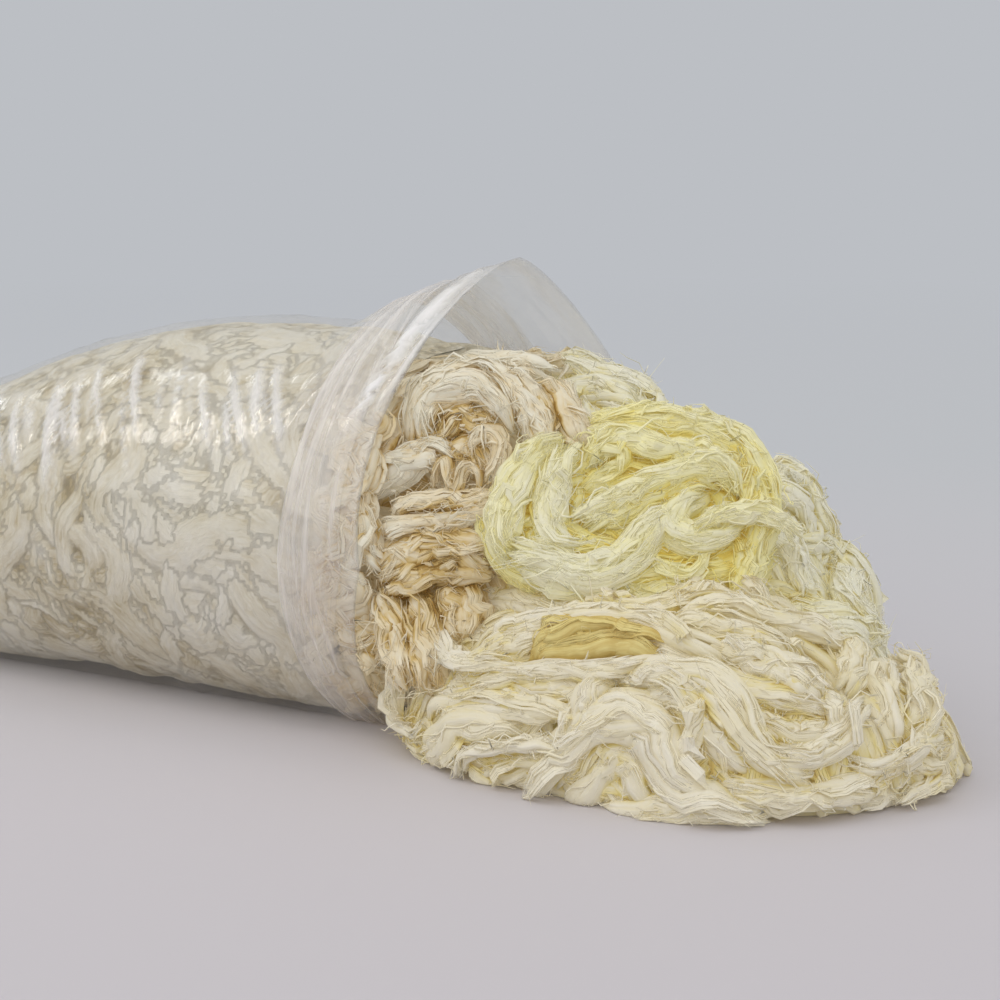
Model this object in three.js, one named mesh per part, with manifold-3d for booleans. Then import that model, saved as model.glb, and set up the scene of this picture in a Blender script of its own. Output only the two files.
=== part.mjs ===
// Pulled string cheese in loose hanks, spilling from the open mouth of a clear bag that lies on its side.
// Millimetres. X runs along the bag towards its mouth, Z is up, and the origin is on the bag's underside
// at its mouth.
import * as THREE from 'three';
import { mergeVertices } from 'three/addons/utils/BufferGeometryUtils.js';
import Module from 'manifold-3d';

// Driving dimensions of the bag
const BAG_BACK = -288;          // sealed end
const BAG_FULL = -62;           // from here to the mouth the bag is full
const MOUTH = -34;              // where the cuff starts
const BAG_TOP = 124;
const SEAM_HEIGHT = 36;         // the sealed end stands clear of the floor
const HALF_WIDTH = 70;
const SEAM_HALF_WIDTH = 60;
const RIM_HALF_WIDTH = 63;
const RIM_MIDDLE = 26.5;        // how far the rim reaches along X
const RIM_SKEW = 18.5;          // how much further it reaches on the far side than on the near side
const FLAT_PRESS = 8;           // how far the round section is pressed flat by the floor
const FILM = 0.8;               // wall of the solid, thicker than real film
const CUFF_PROUD = 1.6;
const HOOD_RISE = 27;           // the film's peak above the round mouth
const GAP = 0.3;                // between pieces that touch
const CHEESE_INSET = 0.5;       // packed cheese inside the film's inner face
const CHEESE_FRONT = -42;
const SLIVER = 0.1;             // edges shorter than this are taken out after a cut

// Driving dimensions of the spilled cheese
const BAND_WIDTH = 13;
const BAND_THICK = 8;
const FRONT = { x0: 9, x1: 173, yc: -24, halfWidth: 45, top: 55, shell: 4 };
const BACK = { x0: 16, x1: 152, yc: 30, halfWidth: 44, top: 107, shell: 5, slant: 0.42 };
const WREATH = { centre: [83, -26, 75], across: 44, high: 24, turn: 33, lean: 28, depth: 13 };
const PLUG_FRONT = 16;          // bulge of the cheese that fills the mouth
const SEED = 7;

// Numbers of facets
const BAG_SIDES = 32;
const BAG_STEPS = 17;
const RIM_STEPS = 6;
const CHEESE_STEPS = 34;
const BAND_SIDES = 6;
const CORE_SIDES = 18;

const wasm = await Module();
wasm.setup();

const UP = new THREE.Vector3(0, 0, 1);
const clamp = (v) => Math.min(1, Math.max(0, v));
const smooth = (v) => clamp(v) * clamp(v) * (3 - 2 * clamp(v));
const mix = (a, b, t) => a + (b - a) * t;
const vec = (x, y, z) => new THREE.Vector3(x, y, z);

// A seeded generator of numbers from 0 to 1
function draws(seed) {
  let state = seed >>> 0;
  return () => {
    state = (Math.imul(state, 1664525) + 1013904223) >>> 0;
    return state / 4294967296;
  };
}

// A closed body from rings of points, with a fan over its first and its last ring
function ringBody(rings) {
  const sides = rings[0].length;
  const points = rings.flat();
  const index = [];
  for (let i = 0; i + 1 < rings.length; i += 1) {
    for (let j = 0; j < sides; j += 1) {
      const a = i * sides + j;
      const b = i * sides + (j + 1) % sides;
      index.push(a, b, b + sides, a, b + sides, a + sides);
    }
  }
  const ends = [[0, 1], [rings.length - 1, -1]];
  for (const [row, way] of ends) {
    const middle = rings[row].reduce((sum, p) => sum.add(p), vec(0, 0, 0)).divideScalar(sides);
    const hub = points.push(middle) - 1;
    for (let j = 0; j < sides; j += 1) {
      const a = row * sides + j;
      const b = row * sides + (j + 1) % sides;
      index.push(...(way > 0 ? [hub, b, a] : [hub, a, b]));
    }
  }
  const geometry = new THREE.BufferGeometry().setFromPoints(points);
  geometry.setIndex(index);
  return facingOut(geometry);
}

// Turns a closed body's faces outward, by the sign of its volume
function facingOut(geometry) {
  const place = geometry.attributes.position;
  const index = geometry.index.array;
  const corner = [vec(0, 0, 0), vec(0, 0, 0), vec(0, 0, 0)];
  let volume = 0;
  for (let i = 0; i < index.length; i += 3) {
    corner.forEach((c, k) => c.fromBufferAttribute(place, index[i + k]));
    volume += corner[0].dot(corner[1].clone().cross(corner[2]));
  }
  if (volume < 0) {
    for (let i = 0; i < index.length; i += 3) {
      [index[i], index[i + 1]] = [index[i + 1], index[i]];
    }
  }
  return geometry;
}

function toSolid(geometry) {
  const bare = geometry.clone();
  bare.deleteAttribute('normal');
  bare.deleteAttribute('uv');
  const merged = mergeVertices(bare, 1e-4);
  return new wasm.Manifold(new wasm.Mesh({
    numProp: 3,
    vertProperties: new Float32Array(merged.attributes.position.array),
    triVerts: new Uint32Array(merged.index.array),
  }));
}

// A label for each point of a mesh, the same for all points that its triangles connect
function skinsOf(triangles, count) {
  const label = Uint32Array.from({ length: count }, (_, i) => i);
  const root = (i) => {
    while (label[i] !== i) {
      label[i] = label[label[i]];
      i = label[i];
    }
    return i;
  };
  for (let i = 0; i < triangles.length; i += 3) {
    label[root(triangles[i + 1])] = root(triangles[i]);
    label[root(triangles[i + 2])] = root(triangles[i]);
  }
  return label.map((_, i) => root(i));
}

// The largest skin of a cut solid as a geometry, without loose scraps, sealed hollows or slivers at the cuts
function toGeometry(solid) {
  const { vertProperties, triVerts, numProp } = solid.asOriginal().simplify(SLIVER).getMesh();
  const at = (i) => vec(...vertProperties.subarray(i * numProp, i * numProp + 3));
  const skins = skinsOf(triVerts, vertProperties.length / numProp);
  const volumes = new Map();
  for (let i = 0; i < triVerts.length; i += 3) {
    const [a, b, c] = triVerts.subarray(i, i + 3);
    volumes.set(skins[a], (volumes.get(skins[a]) ?? 0) + at(a).dot(at(b).cross(at(c))));
  }
  const largest = [...volumes].reduce((best, entry) => (entry[1] > best[1] ? entry : best))[0];
  const kept = [...triVerts].filter((_, k) => skins[triVerts[k - k % 3]] === largest);
  const geometry = new THREE.BufferGeometry().setFromPoints(kept.map(at));
  return mergeVertices(geometry, 1e-5);
}

// Half sizes of the bag at a station along its axis: top, lowest point, half width
function bagProfile(x) {
  const filled = clamp((x - BAG_BACK) / (BAG_FULL - BAG_BACK));
  const top = mix(SEAM_HEIGHT + 1.5, BAG_TOP, Math.sin(filled * Math.PI / 2) ** 0.85);
  const low = (SEAM_HEIGHT - 1.5) * (1 - clamp(filled / 0.45)) ** 1.6;
  const width = mix(SEAM_HALF_WIDTH, HALF_WIDTH, Math.sin(clamp(filled / 0.55) * Math.PI / 2));
  return { top, low, width, press: FLAT_PRESS * smooth(filled / 0.5) };
}

// How far the rim stands along X at an angle round the mouth, with 0 on the far side and 90 degrees on top
function rimX(angle) {
  const s = Math.sin(angle);
  return RIM_MIDDLE + RIM_SKEW * Math.cos(angle) - 9 * Math.max(0, s) + 17 * Math.min(0, s);
}

// A point of the bag's surface. along is 0 at the seam, 1 at the cuff and 2 at the rim; inset is inwards
function bagPoint(along, angle, inset) {
  const mouth = clamp(along - 1);
  const start = mix(BAG_BACK, MOUTH, clamp(along));
  const x = mix(start, rimX(angle), mouth);
  const { top, low, width, press } = bagProfile(start);
  const halfWidth = mix(width, RIM_HALF_WIDTH, mouth) - inset;
  const high = (mix(top, BAG_TOP - 4, mouth) - low + press) / 2;
  const middle = low - press + high;
  const peak = HOOD_RISE * mouth ** 0.85 * Math.exp(-(((angle - 1.45) / 0.62) ** 2));
  const round = middle + (high - inset) * Math.sin(angle) + peak;
  const y = halfWidth * Math.cos(angle);
  return vec(x, y, Math.max(low + inset, round));
}

function bagRing(along, inset, reach = 0) {
  return Array.from({ length: BAG_SIDES }, (_, j) => {
    const point = bagPoint(along, j / BAG_SIDES * 2 * Math.PI, inset);
    point.x += reach;
    return point;
  });
}

// Stations from the seam to the cuff, closer together where the seam's end tapers
function bagStations(steps) {
  return Array.from({ length: steps + 1 }, (_, i) => (i / steps) ** 1.25);
}

function rimStations() {
  return Array.from({ length: RIM_STEPS }, (_, i) => 1 + (i + 1) / RIM_STEPS);
}

// The film: an outer and an inner skin that meet at the rim, with a cuff that stands proud round the mouth
function bagFilm(grow = 0) {
  const stations = [...bagStations(BAG_STEPS), ...rimStations()];
  const proud = (along) => CUFF_PROUD * smooth((along - 0.93) / 0.05) * (1 - smooth((along - 1.35) / 0.3));
  const outer = stations.map((s) => bagRing(s, -proud(s) - grow, s === 2 ? grow : 0));
  const inner = stations.map((s) => bagRing(s, FILM + grow, s === 2 ? grow : 0)).reverse();
  outer.forEach((ring) => ring.forEach((p) => { p.z = Math.max(p.z, -grow); }));
  inner.pop();
  inner[inner.length - 1].forEach((p) => { p.x = Math.max(p.x, BAG_BACK + 3); });
  outer[0].forEach((p) => { p.x -= grow; });
  return ringBody([...outer, ...inner]);
}

// Packed cheese, pressed smooth against the film, with shallow hollows between its folded bands
function packedCheese(grow = 0) {
  const rings = [];
  for (let i = 0; i <= CHEESE_STEPS; i += 1) {
    const x = mix(BAG_BACK + 10, CHEESE_FRONT, i / CHEESE_STEPS);
    const along = (x - BAG_BACK) / (MOUTH - BAG_BACK);
    const full = smooth((x - BAG_BACK) / 60);
    const clear = CHEESE_INSET + 1.2 * (1 - smooth((x - BAG_BACK) / 110));
    rings.push(Array.from({ length: BAG_SIDES }, (_, j) => {
      const angle = j / BAG_SIDES * 2 * Math.PI;
      const fold = Math.sin(x / 7.5 + 1.9 * Math.sin(3 * angle + x / 31))
        + Math.sin(5 * angle + x / 13 + 1.4 * Math.sin(x / 19));
      const hollow = full * 1.1 * Math.max(0, fold - 0.2);
      return bagPoint(along, angle, FILM + clear - grow + hollow);
    }));
  }
  rings[rings.length - 1].forEach((p) => { p.x += grow; });
  return ringBody(rings);
}

// A flat band of pulled cheese along a path, widest in its middle and drawn in at both ends
function band(path, width, thick, steps, lie = UP) {
  const rings = [];
  for (let i = 0; i <= steps; i += 1) {
    const t = i / steps;
    const here = path(t);
    const way = path(Math.min(1, t + 0.01)).sub(path(Math.max(0, t - 0.01))).normalize();
    const side = way.clone().cross(lie);
    if (side.length() < 0.2) side.copy(way).cross(vec(0.3, 1, 0));
    side.normalize();
    const out = side.clone().cross(way).normalize();
    const full = 0.34 + 0.66 * Math.sin(Math.PI * clamp(0.06 + 0.88 * t)) ** 0.5;
    rings.push(Array.from({ length: BAND_SIDES }, (_, j) => {
      const a = (j + 0.5) / BAND_SIDES * 2 * Math.PI;
      return here.clone()
        .addScaledVector(side, Math.cos(a) * width / 2 * full)
        .addScaledVector(out, Math.sin(a) * thick / 2 * full);
    }));
  }
  return ringBody(rings);
}

// Outline and height of the front hank: a low loaf, widest in its middle
function frontTop(x, y) {
  const along = (x - (FRONT.x0 + FRONT.x1) / 2) / ((FRONT.x1 - FRONT.x0) / 2);
  const drift = 25 * Math.max(0, along) ** 3;
  const across = (y - FRONT.yc - drift) / FRONT.halfWidth;
  const edge = Math.abs(along) ** 2.6 + Math.abs(across) ** 2.6;
  const high = FRONT.top - 9 * smooth((x - 118) / 34);
  return high * Math.max(0, 1 - edge) ** 0.5;
}

// Height of the back hank: steep at the bag, falling in steps to its loose end
function backTop(x, y) {
  const half = mix(29, BACK.halfWidth, smooth((x - 38) / 28));
  const across = (y - BACK.yc) / half;
  const run = x + BACK.slant * Math.max(0, y - 5);
  const high = BACK.top - 13 * smooth((run - 56) / 18) - 13 * smooth((run - 92) / 18) - 30 * smooth((run - 110) / 22);
  const ends = clamp((x - BACK.x0) / 6) * clamp((BACK.x1 - run) / 16);
  return high * Math.sqrt(Math.max(0, 1 - Math.abs(across) ** 2.8)) * Math.sqrt(ends);
}

// A core whose top follows a height function, as a fan of rings from the outline up to the middle
function mound(height, x0, x1, yc, halfWidth, shell, grow = 0) {
  const rings = [];
  const rows = 11;
  const cols = 12;
  for (let i = 0; i <= rows; i += 1) {
    const x = mix(x0 + 2, x1 - 2, (1 - Math.cos(Math.PI * i / rows)) / 2);
    const ring = [];
    for (let j = 0; j <= cols; j += 1) {
      const y = yc(x) + halfWidth(x) * -Math.cos(Math.PI * j / cols);
      ring.push(vec(x, y, Math.max(1.5, height(x, y) - shell) + grow));
    }
    ring.push(vec(x, ring[cols].y, -2));
    ring.push(vec(x, ring[0].y, -2));
    rings.push(ring);
  }
  rings[0].forEach((p) => { p.x -= grow; });
  rings[rows].forEach((p) => { p.x += grow; });
  return ringBody(rings);
}

// Bands that run the front hank's length, each swaying over the loaf from its folded end to its loose end
function frontBands(random) {
  const bands = [];
  const lines = 6;
  for (let k = 0; k < lines; k += 1) {
    const f = k / (lines - 1);
    const phase = random() * 6.28;
    const sway = 3 + 3 * random();
    const start = FRONT.x0 + 4 + 8 * Math.abs(f - 0.4);
    const end = FRONT.x1 - 5 - 16 * (f - 0.75) ** 2;
    bands.push({
      path: (t) => {
        const x = mix(start, end, t);
        const y = mix(FRONT.yc - 33, FRONT.yc + 30, f) + sway * Math.sin(5.5 * t + phase) + 12 * t ** 3;
        return vec(x, y, Math.max(3, frontTop(x, y) - 1.5));
      },
      width: BAND_WIDTH * (0.85 + 0.4 * random()),
      thick: BAND_THICK,
      steps: 13,
    });
  }
  // Bundles that hump over the front edge and run down to the floor
  const humps = 4;
  for (let k = 0; k < humps; k += 1) {
    const x = 42 + 24 * k;
    const lift = 26 - 3 * k;
    bands.push({
      path: (t) => vec(
        x - 16 + 44 * t,
        -44 - 20 * Math.sin(Math.PI * (0.15 + 0.6 * t)) - 3 * t,
        Math.max(3.5, lift * Math.cos(Math.PI / 2 * t ** 1.3) + 10 * Math.sin(Math.PI * t) * (1 - t)),
      ),
      width: BAND_WIDTH * 1.25,
      thick: BAND_THICK * 1.15,
      steps: 9,
    });
  }
  // Strands that hang at the folded end
  for (let k = 0; k < 3; k += 1) {
    const y = -47 + 9 * k;
    bands.push({
      path: (t) => vec(16 - 7 * Math.sin(Math.PI * t), y - 4 * t, 44 * (1 - t) ** 0.8 + 2.5),
      width: 6,
      thick: 5,
      steps: 8,
      lie: vec(-1, 0, 0),
    });
  }
  return bands;
}

// Bands that run over the back hank and down its loose end, and loops that stand off that end
function backBands(random) {
  const bands = [];
  const lines = 5;
  for (let k = 0; k < lines; k += 1) {
    const f = k / (lines - 1);
    const phase = random() * 6.28;
    bands.push({
      path: (t) => {
        const y = mix(BACK.yc - 24, BACK.yc + 27 + 6 * t, f) + 4 * Math.sin(6 * t + phase);
        const x = mix(BACK.x0 + 3, BACK.x1 - 4 - BACK.slant * Math.max(0, y - 5), t);
        return vec(x, y, Math.max(3, backTop(x, y) - 1));
      },
      width: BAND_WIDTH * (1 + 0.3 * random()),
      thick: BAND_THICK,
      steps: 12,
    });
  }
  for (let k = 0; k < 3; k += 1) {
    const y = BACK.yc - 14 + 17 * k;
    bands.push({
      path: (t) => vec(
        100 - 5 * k + 36 * Math.sin(Math.PI * (0.08 + 0.72 * t)),
        y + 7 * t,
        mix(80 - 8 * k, 12, t ** 1.1),
      ),
      width: 9,
      thick: 6,
      steps: 9,
      lie: vec(1, 0, 0.2),
    });
  }
  return bands;
}

// Unit vectors of the wreath: across, up its slope, and out of its face
function wreathFrame() {
  const turn = THREE.MathUtils.degToRad(WREATH.turn);
  const lean = THREE.MathUtils.degToRad(WREATH.lean);
  const across = vec(Math.cos(turn), Math.sin(turn), 0);
  const up = vec(-Math.sin(turn) * Math.sin(lean), Math.cos(turn) * Math.sin(lean), Math.cos(lean));
  return { across, up, out: across.clone().cross(up), centre: vec(...WREATH.centre) };
}

function wreathPoint(frame, right, up, out) {
  return frame.centre.clone()
    .addScaledVector(frame.across, right)
    .addScaledVector(frame.up, up)
    .addScaledVector(frame.out, out);
}

// Bands that wind round the wreath and end in an inner turn
function wreathBands(random) {
  const frame = wreathFrame();
  const bands = [];
  for (let k = 0; k < 4; k += 1) {
    const start = Math.PI * (1.15 + 0.5 * k);
    const turns = 0.95 + 0.35 * (k % 2);
    const size = 1 - 0.09 * k;
    const out = [2, 6, -5, 9][k];
    const phase = random() * 6.28;
    bands.push({
      path: (t) => {
        const angle = start - turns * 2 * Math.PI * t;
        const r = size * (1 - 0.45 * t ** 1.8) + 0.05 * Math.sin(9 * t + phase);
        return wreathPoint(frame, WREATH.across * r * Math.cos(angle), WREATH.high * r * Math.sin(angle), out - 6 * t);
      },
      width: BAND_WIDTH * (1.1 - 0.08 * k),
      thick: BAND_THICK * 1.1,
      steps: 18,
      lie: frame.out,
    });
  }
  // A bundle laid slantwise across the ring
  bands.push({
    path: (t) => wreathPoint(frame, mix(-14, 36, t), mix(-2, 12, t) + 3 * Math.sin(3 * t), 8 - 6 * (t - 0.5) ** 2),
    width: 17,
    thick: 7,
    steps: 8,
    lie: frame.out,
  });
  return bands;
}

// The wreath's core: a cushion behind the ring, hollowed in its middle
function wreathCore(grow = 0) {
  const frame = wreathFrame();
  const rings = [];
  const rows = 8;
  for (let i = 1; i < rows; i += 1) {
    const tip = -Math.cos(Math.PI * i / rows);
    const wide = Math.sqrt(1 - tip * tip);
    rings.push(Array.from({ length: CORE_SIDES }, (_, j) => {
      const angle = j / CORE_SIDES * 2 * Math.PI;
      return wreathPoint(
        frame,
        (WREATH.across * 0.98 * wide + grow) * Math.cos(angle),
        (WREATH.high * 0.98 * wide + grow) * Math.sin(angle),
        tip * (WREATH.depth + grow) - 4,
      );
    }));
  }
  return ringBody(rings);
}

// Folded bands in the mouth: arches over the top, flat bands under them, and a bundle below
function mouthBands() {
  const bands = [];
  for (let k = 0; k < 3; k += 1) {
    const size = 1 - 0.24 * k;
    const out = 4 * k;
    bands.push({
      path: (t) => {
        const angle = Math.PI * (1.12 - 1.3 * t);
        return vec(
          13 + out + 26 * size * Math.cos(angle),
          -27 + 2 * k + 15 * size * Math.cos(angle) + 9 * t,
          87 + 27 * size * Math.sin(angle),
        );
      },
      width: 13 - 2 * k,
      thick: 10 - k,
      steps: 10,
      lie: vec(0.6, -0.8, 0.3),
    });
  }
  for (let k = 0; k < 4; k += 1) {
    const z = 71 - 10 * k;
    bands.push({
      path: (t) => vec(
        mix(-8, 34 - 3 * k, t),
        -50 + 30 * t ** 1.5 + 1.5 * k,
        z + 5 * Math.sin(Math.PI * t) - 2 * t,
      ),
      width: 11,
      thick: 10,
      steps: 8,
      lie: vec(0.6, -0.8, 0.2),
    });
  }
  bands.push({
    path: (t) => vec(mix(2, 30, t), mix(30, -8, t), 105 + 4 * Math.sin(Math.PI * t)),
    width: 18,
    thick: 12,
    steps: 8,
  });
  return bands;
}

// The cheese that fills the mouth inside the film, bulging forward of the rim
function mouthPlug(grow = 0) {
  const rings = [];
  const steps = 9;
  for (let i = 0; i <= steps; i += 1) {
    const along = mix(0.975, 1.62, i / steps);
    const bulge = clamp((i - 3) / (steps - 3));
    const inset = FILM + CHEESE_INSET + 0.5 - grow;
    const ring = Array.from({ length: BAG_SIDES }, (_, j) => {
      const angle = j / BAG_SIDES * 2 * Math.PI;
      const point = bagPoint(Math.min(along, 1.3), angle, inset + 1);
      point.x = Math.min(point.x, MOUTH + 26);
      const shrink = Math.sqrt(1 - (0.93 * bulge) ** 2);
      point.y = point.y * shrink;
      point.z = (point.z - 52) * shrink + 52;
      point.z = Math.min(point.z, 117 + grow);
      point.x = mix(MOUTH - 6 - grow, PLUG_FRONT + grow, i / steps) + 0.16 * point.y;
      return point;
    });
    rings.push(ring);
  }
  return ringBody(rings);
}

// One hank: its core with its bands fused on, everything grown outward by grow
function hankSolid(core, bands, grow = 0) {
  const pieces = bands.map((b) => band(b.path, b.width + 2 * grow, b.thick + 2 * grow, b.steps, b.lie));
  return [core(grow), ...pieces].map(toSolid).reduce((sum, piece) => sum.add(piece));
}

// A slab under the floor, which cuts every hank flat where it rests
function belowFloor(top) {
  const slab = new THREE.BoxGeometry(900, 500, 60);
  slab.translate(0, 0, top - 30);
  return toSolid(slab);
}

const frontCore = (grow) => mound(
  frontTop, FRONT.x0, FRONT.x1,
  (x) => FRONT.yc + 25 * Math.max(0, (x - 91) / 82) ** 3,
  (x) => FRONT.halfWidth * (1 - (Math.abs(x - 91) / 83) ** 3.2) ** 0.5 * 0.97 + 1,
  FRONT.shell, grow,
);
const backCore = (grow) => mound(
  backTop, BACK.x0, BACK.x1 - 8,
  () => BACK.yc,
  (x) => mix(28, BACK.halfWidth - 1, smooth((x - 38) / 28)) * (1 - 0.35 * smooth((x - 110) / 34)),
  BACK.shell, grow,
);

const random = draws(SEED);
const parts = {
  mouth: { core: mouthPlug, bands: mouthBands() },
  front: { core: frontCore, bands: frontBands(random) },
  back: { core: backCore, bands: backBands(random) },
  top: { core: wreathCore, bands: wreathBands(random) },
};

// Cuts a hank by the floor and by its neighbours grown by the gap
function fitted(name, neighbours) {
  const { core, bands } = parts[name];
  const whole = hankSolid(core, bands).subtract(belowFloor(0));
  return neighbours.reduce((solid, neighbour) => solid.subtract(neighbour), whole);
}

const grown = (name) => hankSolid(parts[name].core, parts[name].bands, GAP);
const filmGrown = toSolid(bagFilm(GAP));
const cheeseGrown = toSolid(packedCheese(GAP));
const mouthGrown = grown('mouth');
const frontGrown = grown('front');
const backGrown = grown('back');

const spill = {
  mouth_hank: fitted('mouth', [filmGrown, cheeseGrown]),
  front_hank: fitted('front', [filmGrown, mouthGrown]),
  back_hank: fitted('back', [filmGrown, mouthGrown, frontGrown]),
  top_hank: fitted('top', [filmGrown, mouthGrown, frontGrown, backGrown]),
};

function finish(colour, roughness) {
  return new THREE.MeshStandardMaterial({ color: colour, roughness, metalness: 0 });
}

function piece(name, geometry, material) {
  geometry.computeVertexNormals();
  const mesh = new THREE.Mesh(geometry, material);
  mesh.name = name;
  return mesh;
}

const object = new THREE.Group();
object.add(piece('bag_film', bagFilm(), new THREE.MeshStandardMaterial({
  color: '#e4e2e0', roughness: 0.15, metalness: 0, transparent: true, opacity: 0.3,
})));
object.add(piece('bag_cheese', packedCheese(), finish('#d9d0b4', 0.6)));
object.add(piece('mouth_hank', toGeometry(spill.mouth_hank), finish('#d8bd88', 0.65)));
object.add(piece('front_hank', toGeometry(spill.front_hank), finish('#e2d8b8', 0.65)));
object.add(piece('back_hank', toGeometry(spill.back_hank), finish('#dccf9a', 0.65)));
object.add(piece('top_hank', toGeometry(spill.top_hank), finish('#e0d897', 0.65)));

export default object;
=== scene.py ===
import math

import bpy
import numpy as np
from bpy.props import FloatProperty, FloatVectorProperty, IntProperty, PointerProperty
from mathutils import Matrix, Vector


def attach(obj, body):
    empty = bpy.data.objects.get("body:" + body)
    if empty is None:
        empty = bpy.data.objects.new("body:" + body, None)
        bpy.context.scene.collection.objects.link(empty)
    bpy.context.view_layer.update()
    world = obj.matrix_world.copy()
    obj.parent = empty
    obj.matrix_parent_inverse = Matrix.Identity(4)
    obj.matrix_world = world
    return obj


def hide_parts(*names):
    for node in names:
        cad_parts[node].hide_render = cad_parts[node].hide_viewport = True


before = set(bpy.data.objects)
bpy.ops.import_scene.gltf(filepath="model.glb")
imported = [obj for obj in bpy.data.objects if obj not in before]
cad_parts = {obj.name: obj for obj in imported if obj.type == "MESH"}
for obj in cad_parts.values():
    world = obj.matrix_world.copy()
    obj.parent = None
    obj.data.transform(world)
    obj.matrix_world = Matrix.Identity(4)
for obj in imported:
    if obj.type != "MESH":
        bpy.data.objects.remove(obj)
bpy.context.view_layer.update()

bl_info = {
    "name": "Pulled String Cheese in an Open Bag",
    "version": (1, 0, 0),
    "blender": (4, 5, 0),
    "location": "View3D > Sidebar > Cheese",
    "description": "Fibrous hanks of pulled cheese that spill from a clear film bag on its side",
    "category": "Add Mesh",
}

# Shapes are worked out in millimetres, and MM turns them into metres when a mesh is filled.
MM = 0.001
TURN = 2 * math.pi

# The bag, as in the frame: X runs from its sealed end to its mouth
BAG_BACK = -288
BAG_FULL = -62
MOUTH = -34
BAG_TOP = 124
SEAM_HEIGHT = 36
HALF_WIDTH = 70
SEAM_HALF_WIDTH = 60
RIM_HALF_WIDTH = 63
RIM_MIDDLE = 26.5
RIM_SKEW = 18.5
FLAT_PRESS = 8
HOOD_RISE = 27
SEAM_FIN = 7
HOOD_FOLD = {"x": 8, "angle": 1.73, "slope": 16}

# The spilled hanks, as in the frame, and the plane that faces the camera in the mouth
FRONT = {"x0": 9, "x1": 173, "yc": -24, "half": 45, "top": 55}
BACK = {"x0": 16, "x1": 152, "yc": 30, "half": 44, "top": 107, "slant": 0.42}
WREATH = {"centre": (83, -26, 75), "across": 44, "high": 24, "turn": 33, "lean": 28}
MOUTH_FACE = {"point": (-10, -52, 60), "normal": (0.1, -0.91, 0.4)}

# The photograph's viewpoint
VIEW_TURN = 33
VIEW_RISE = 10
VIEW_DISTANCE = 760
VIEW_TARGET = (12, 8, 68)
VIEW_ANGLE = 24
PHOTO_SIZE = 1000

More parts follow.
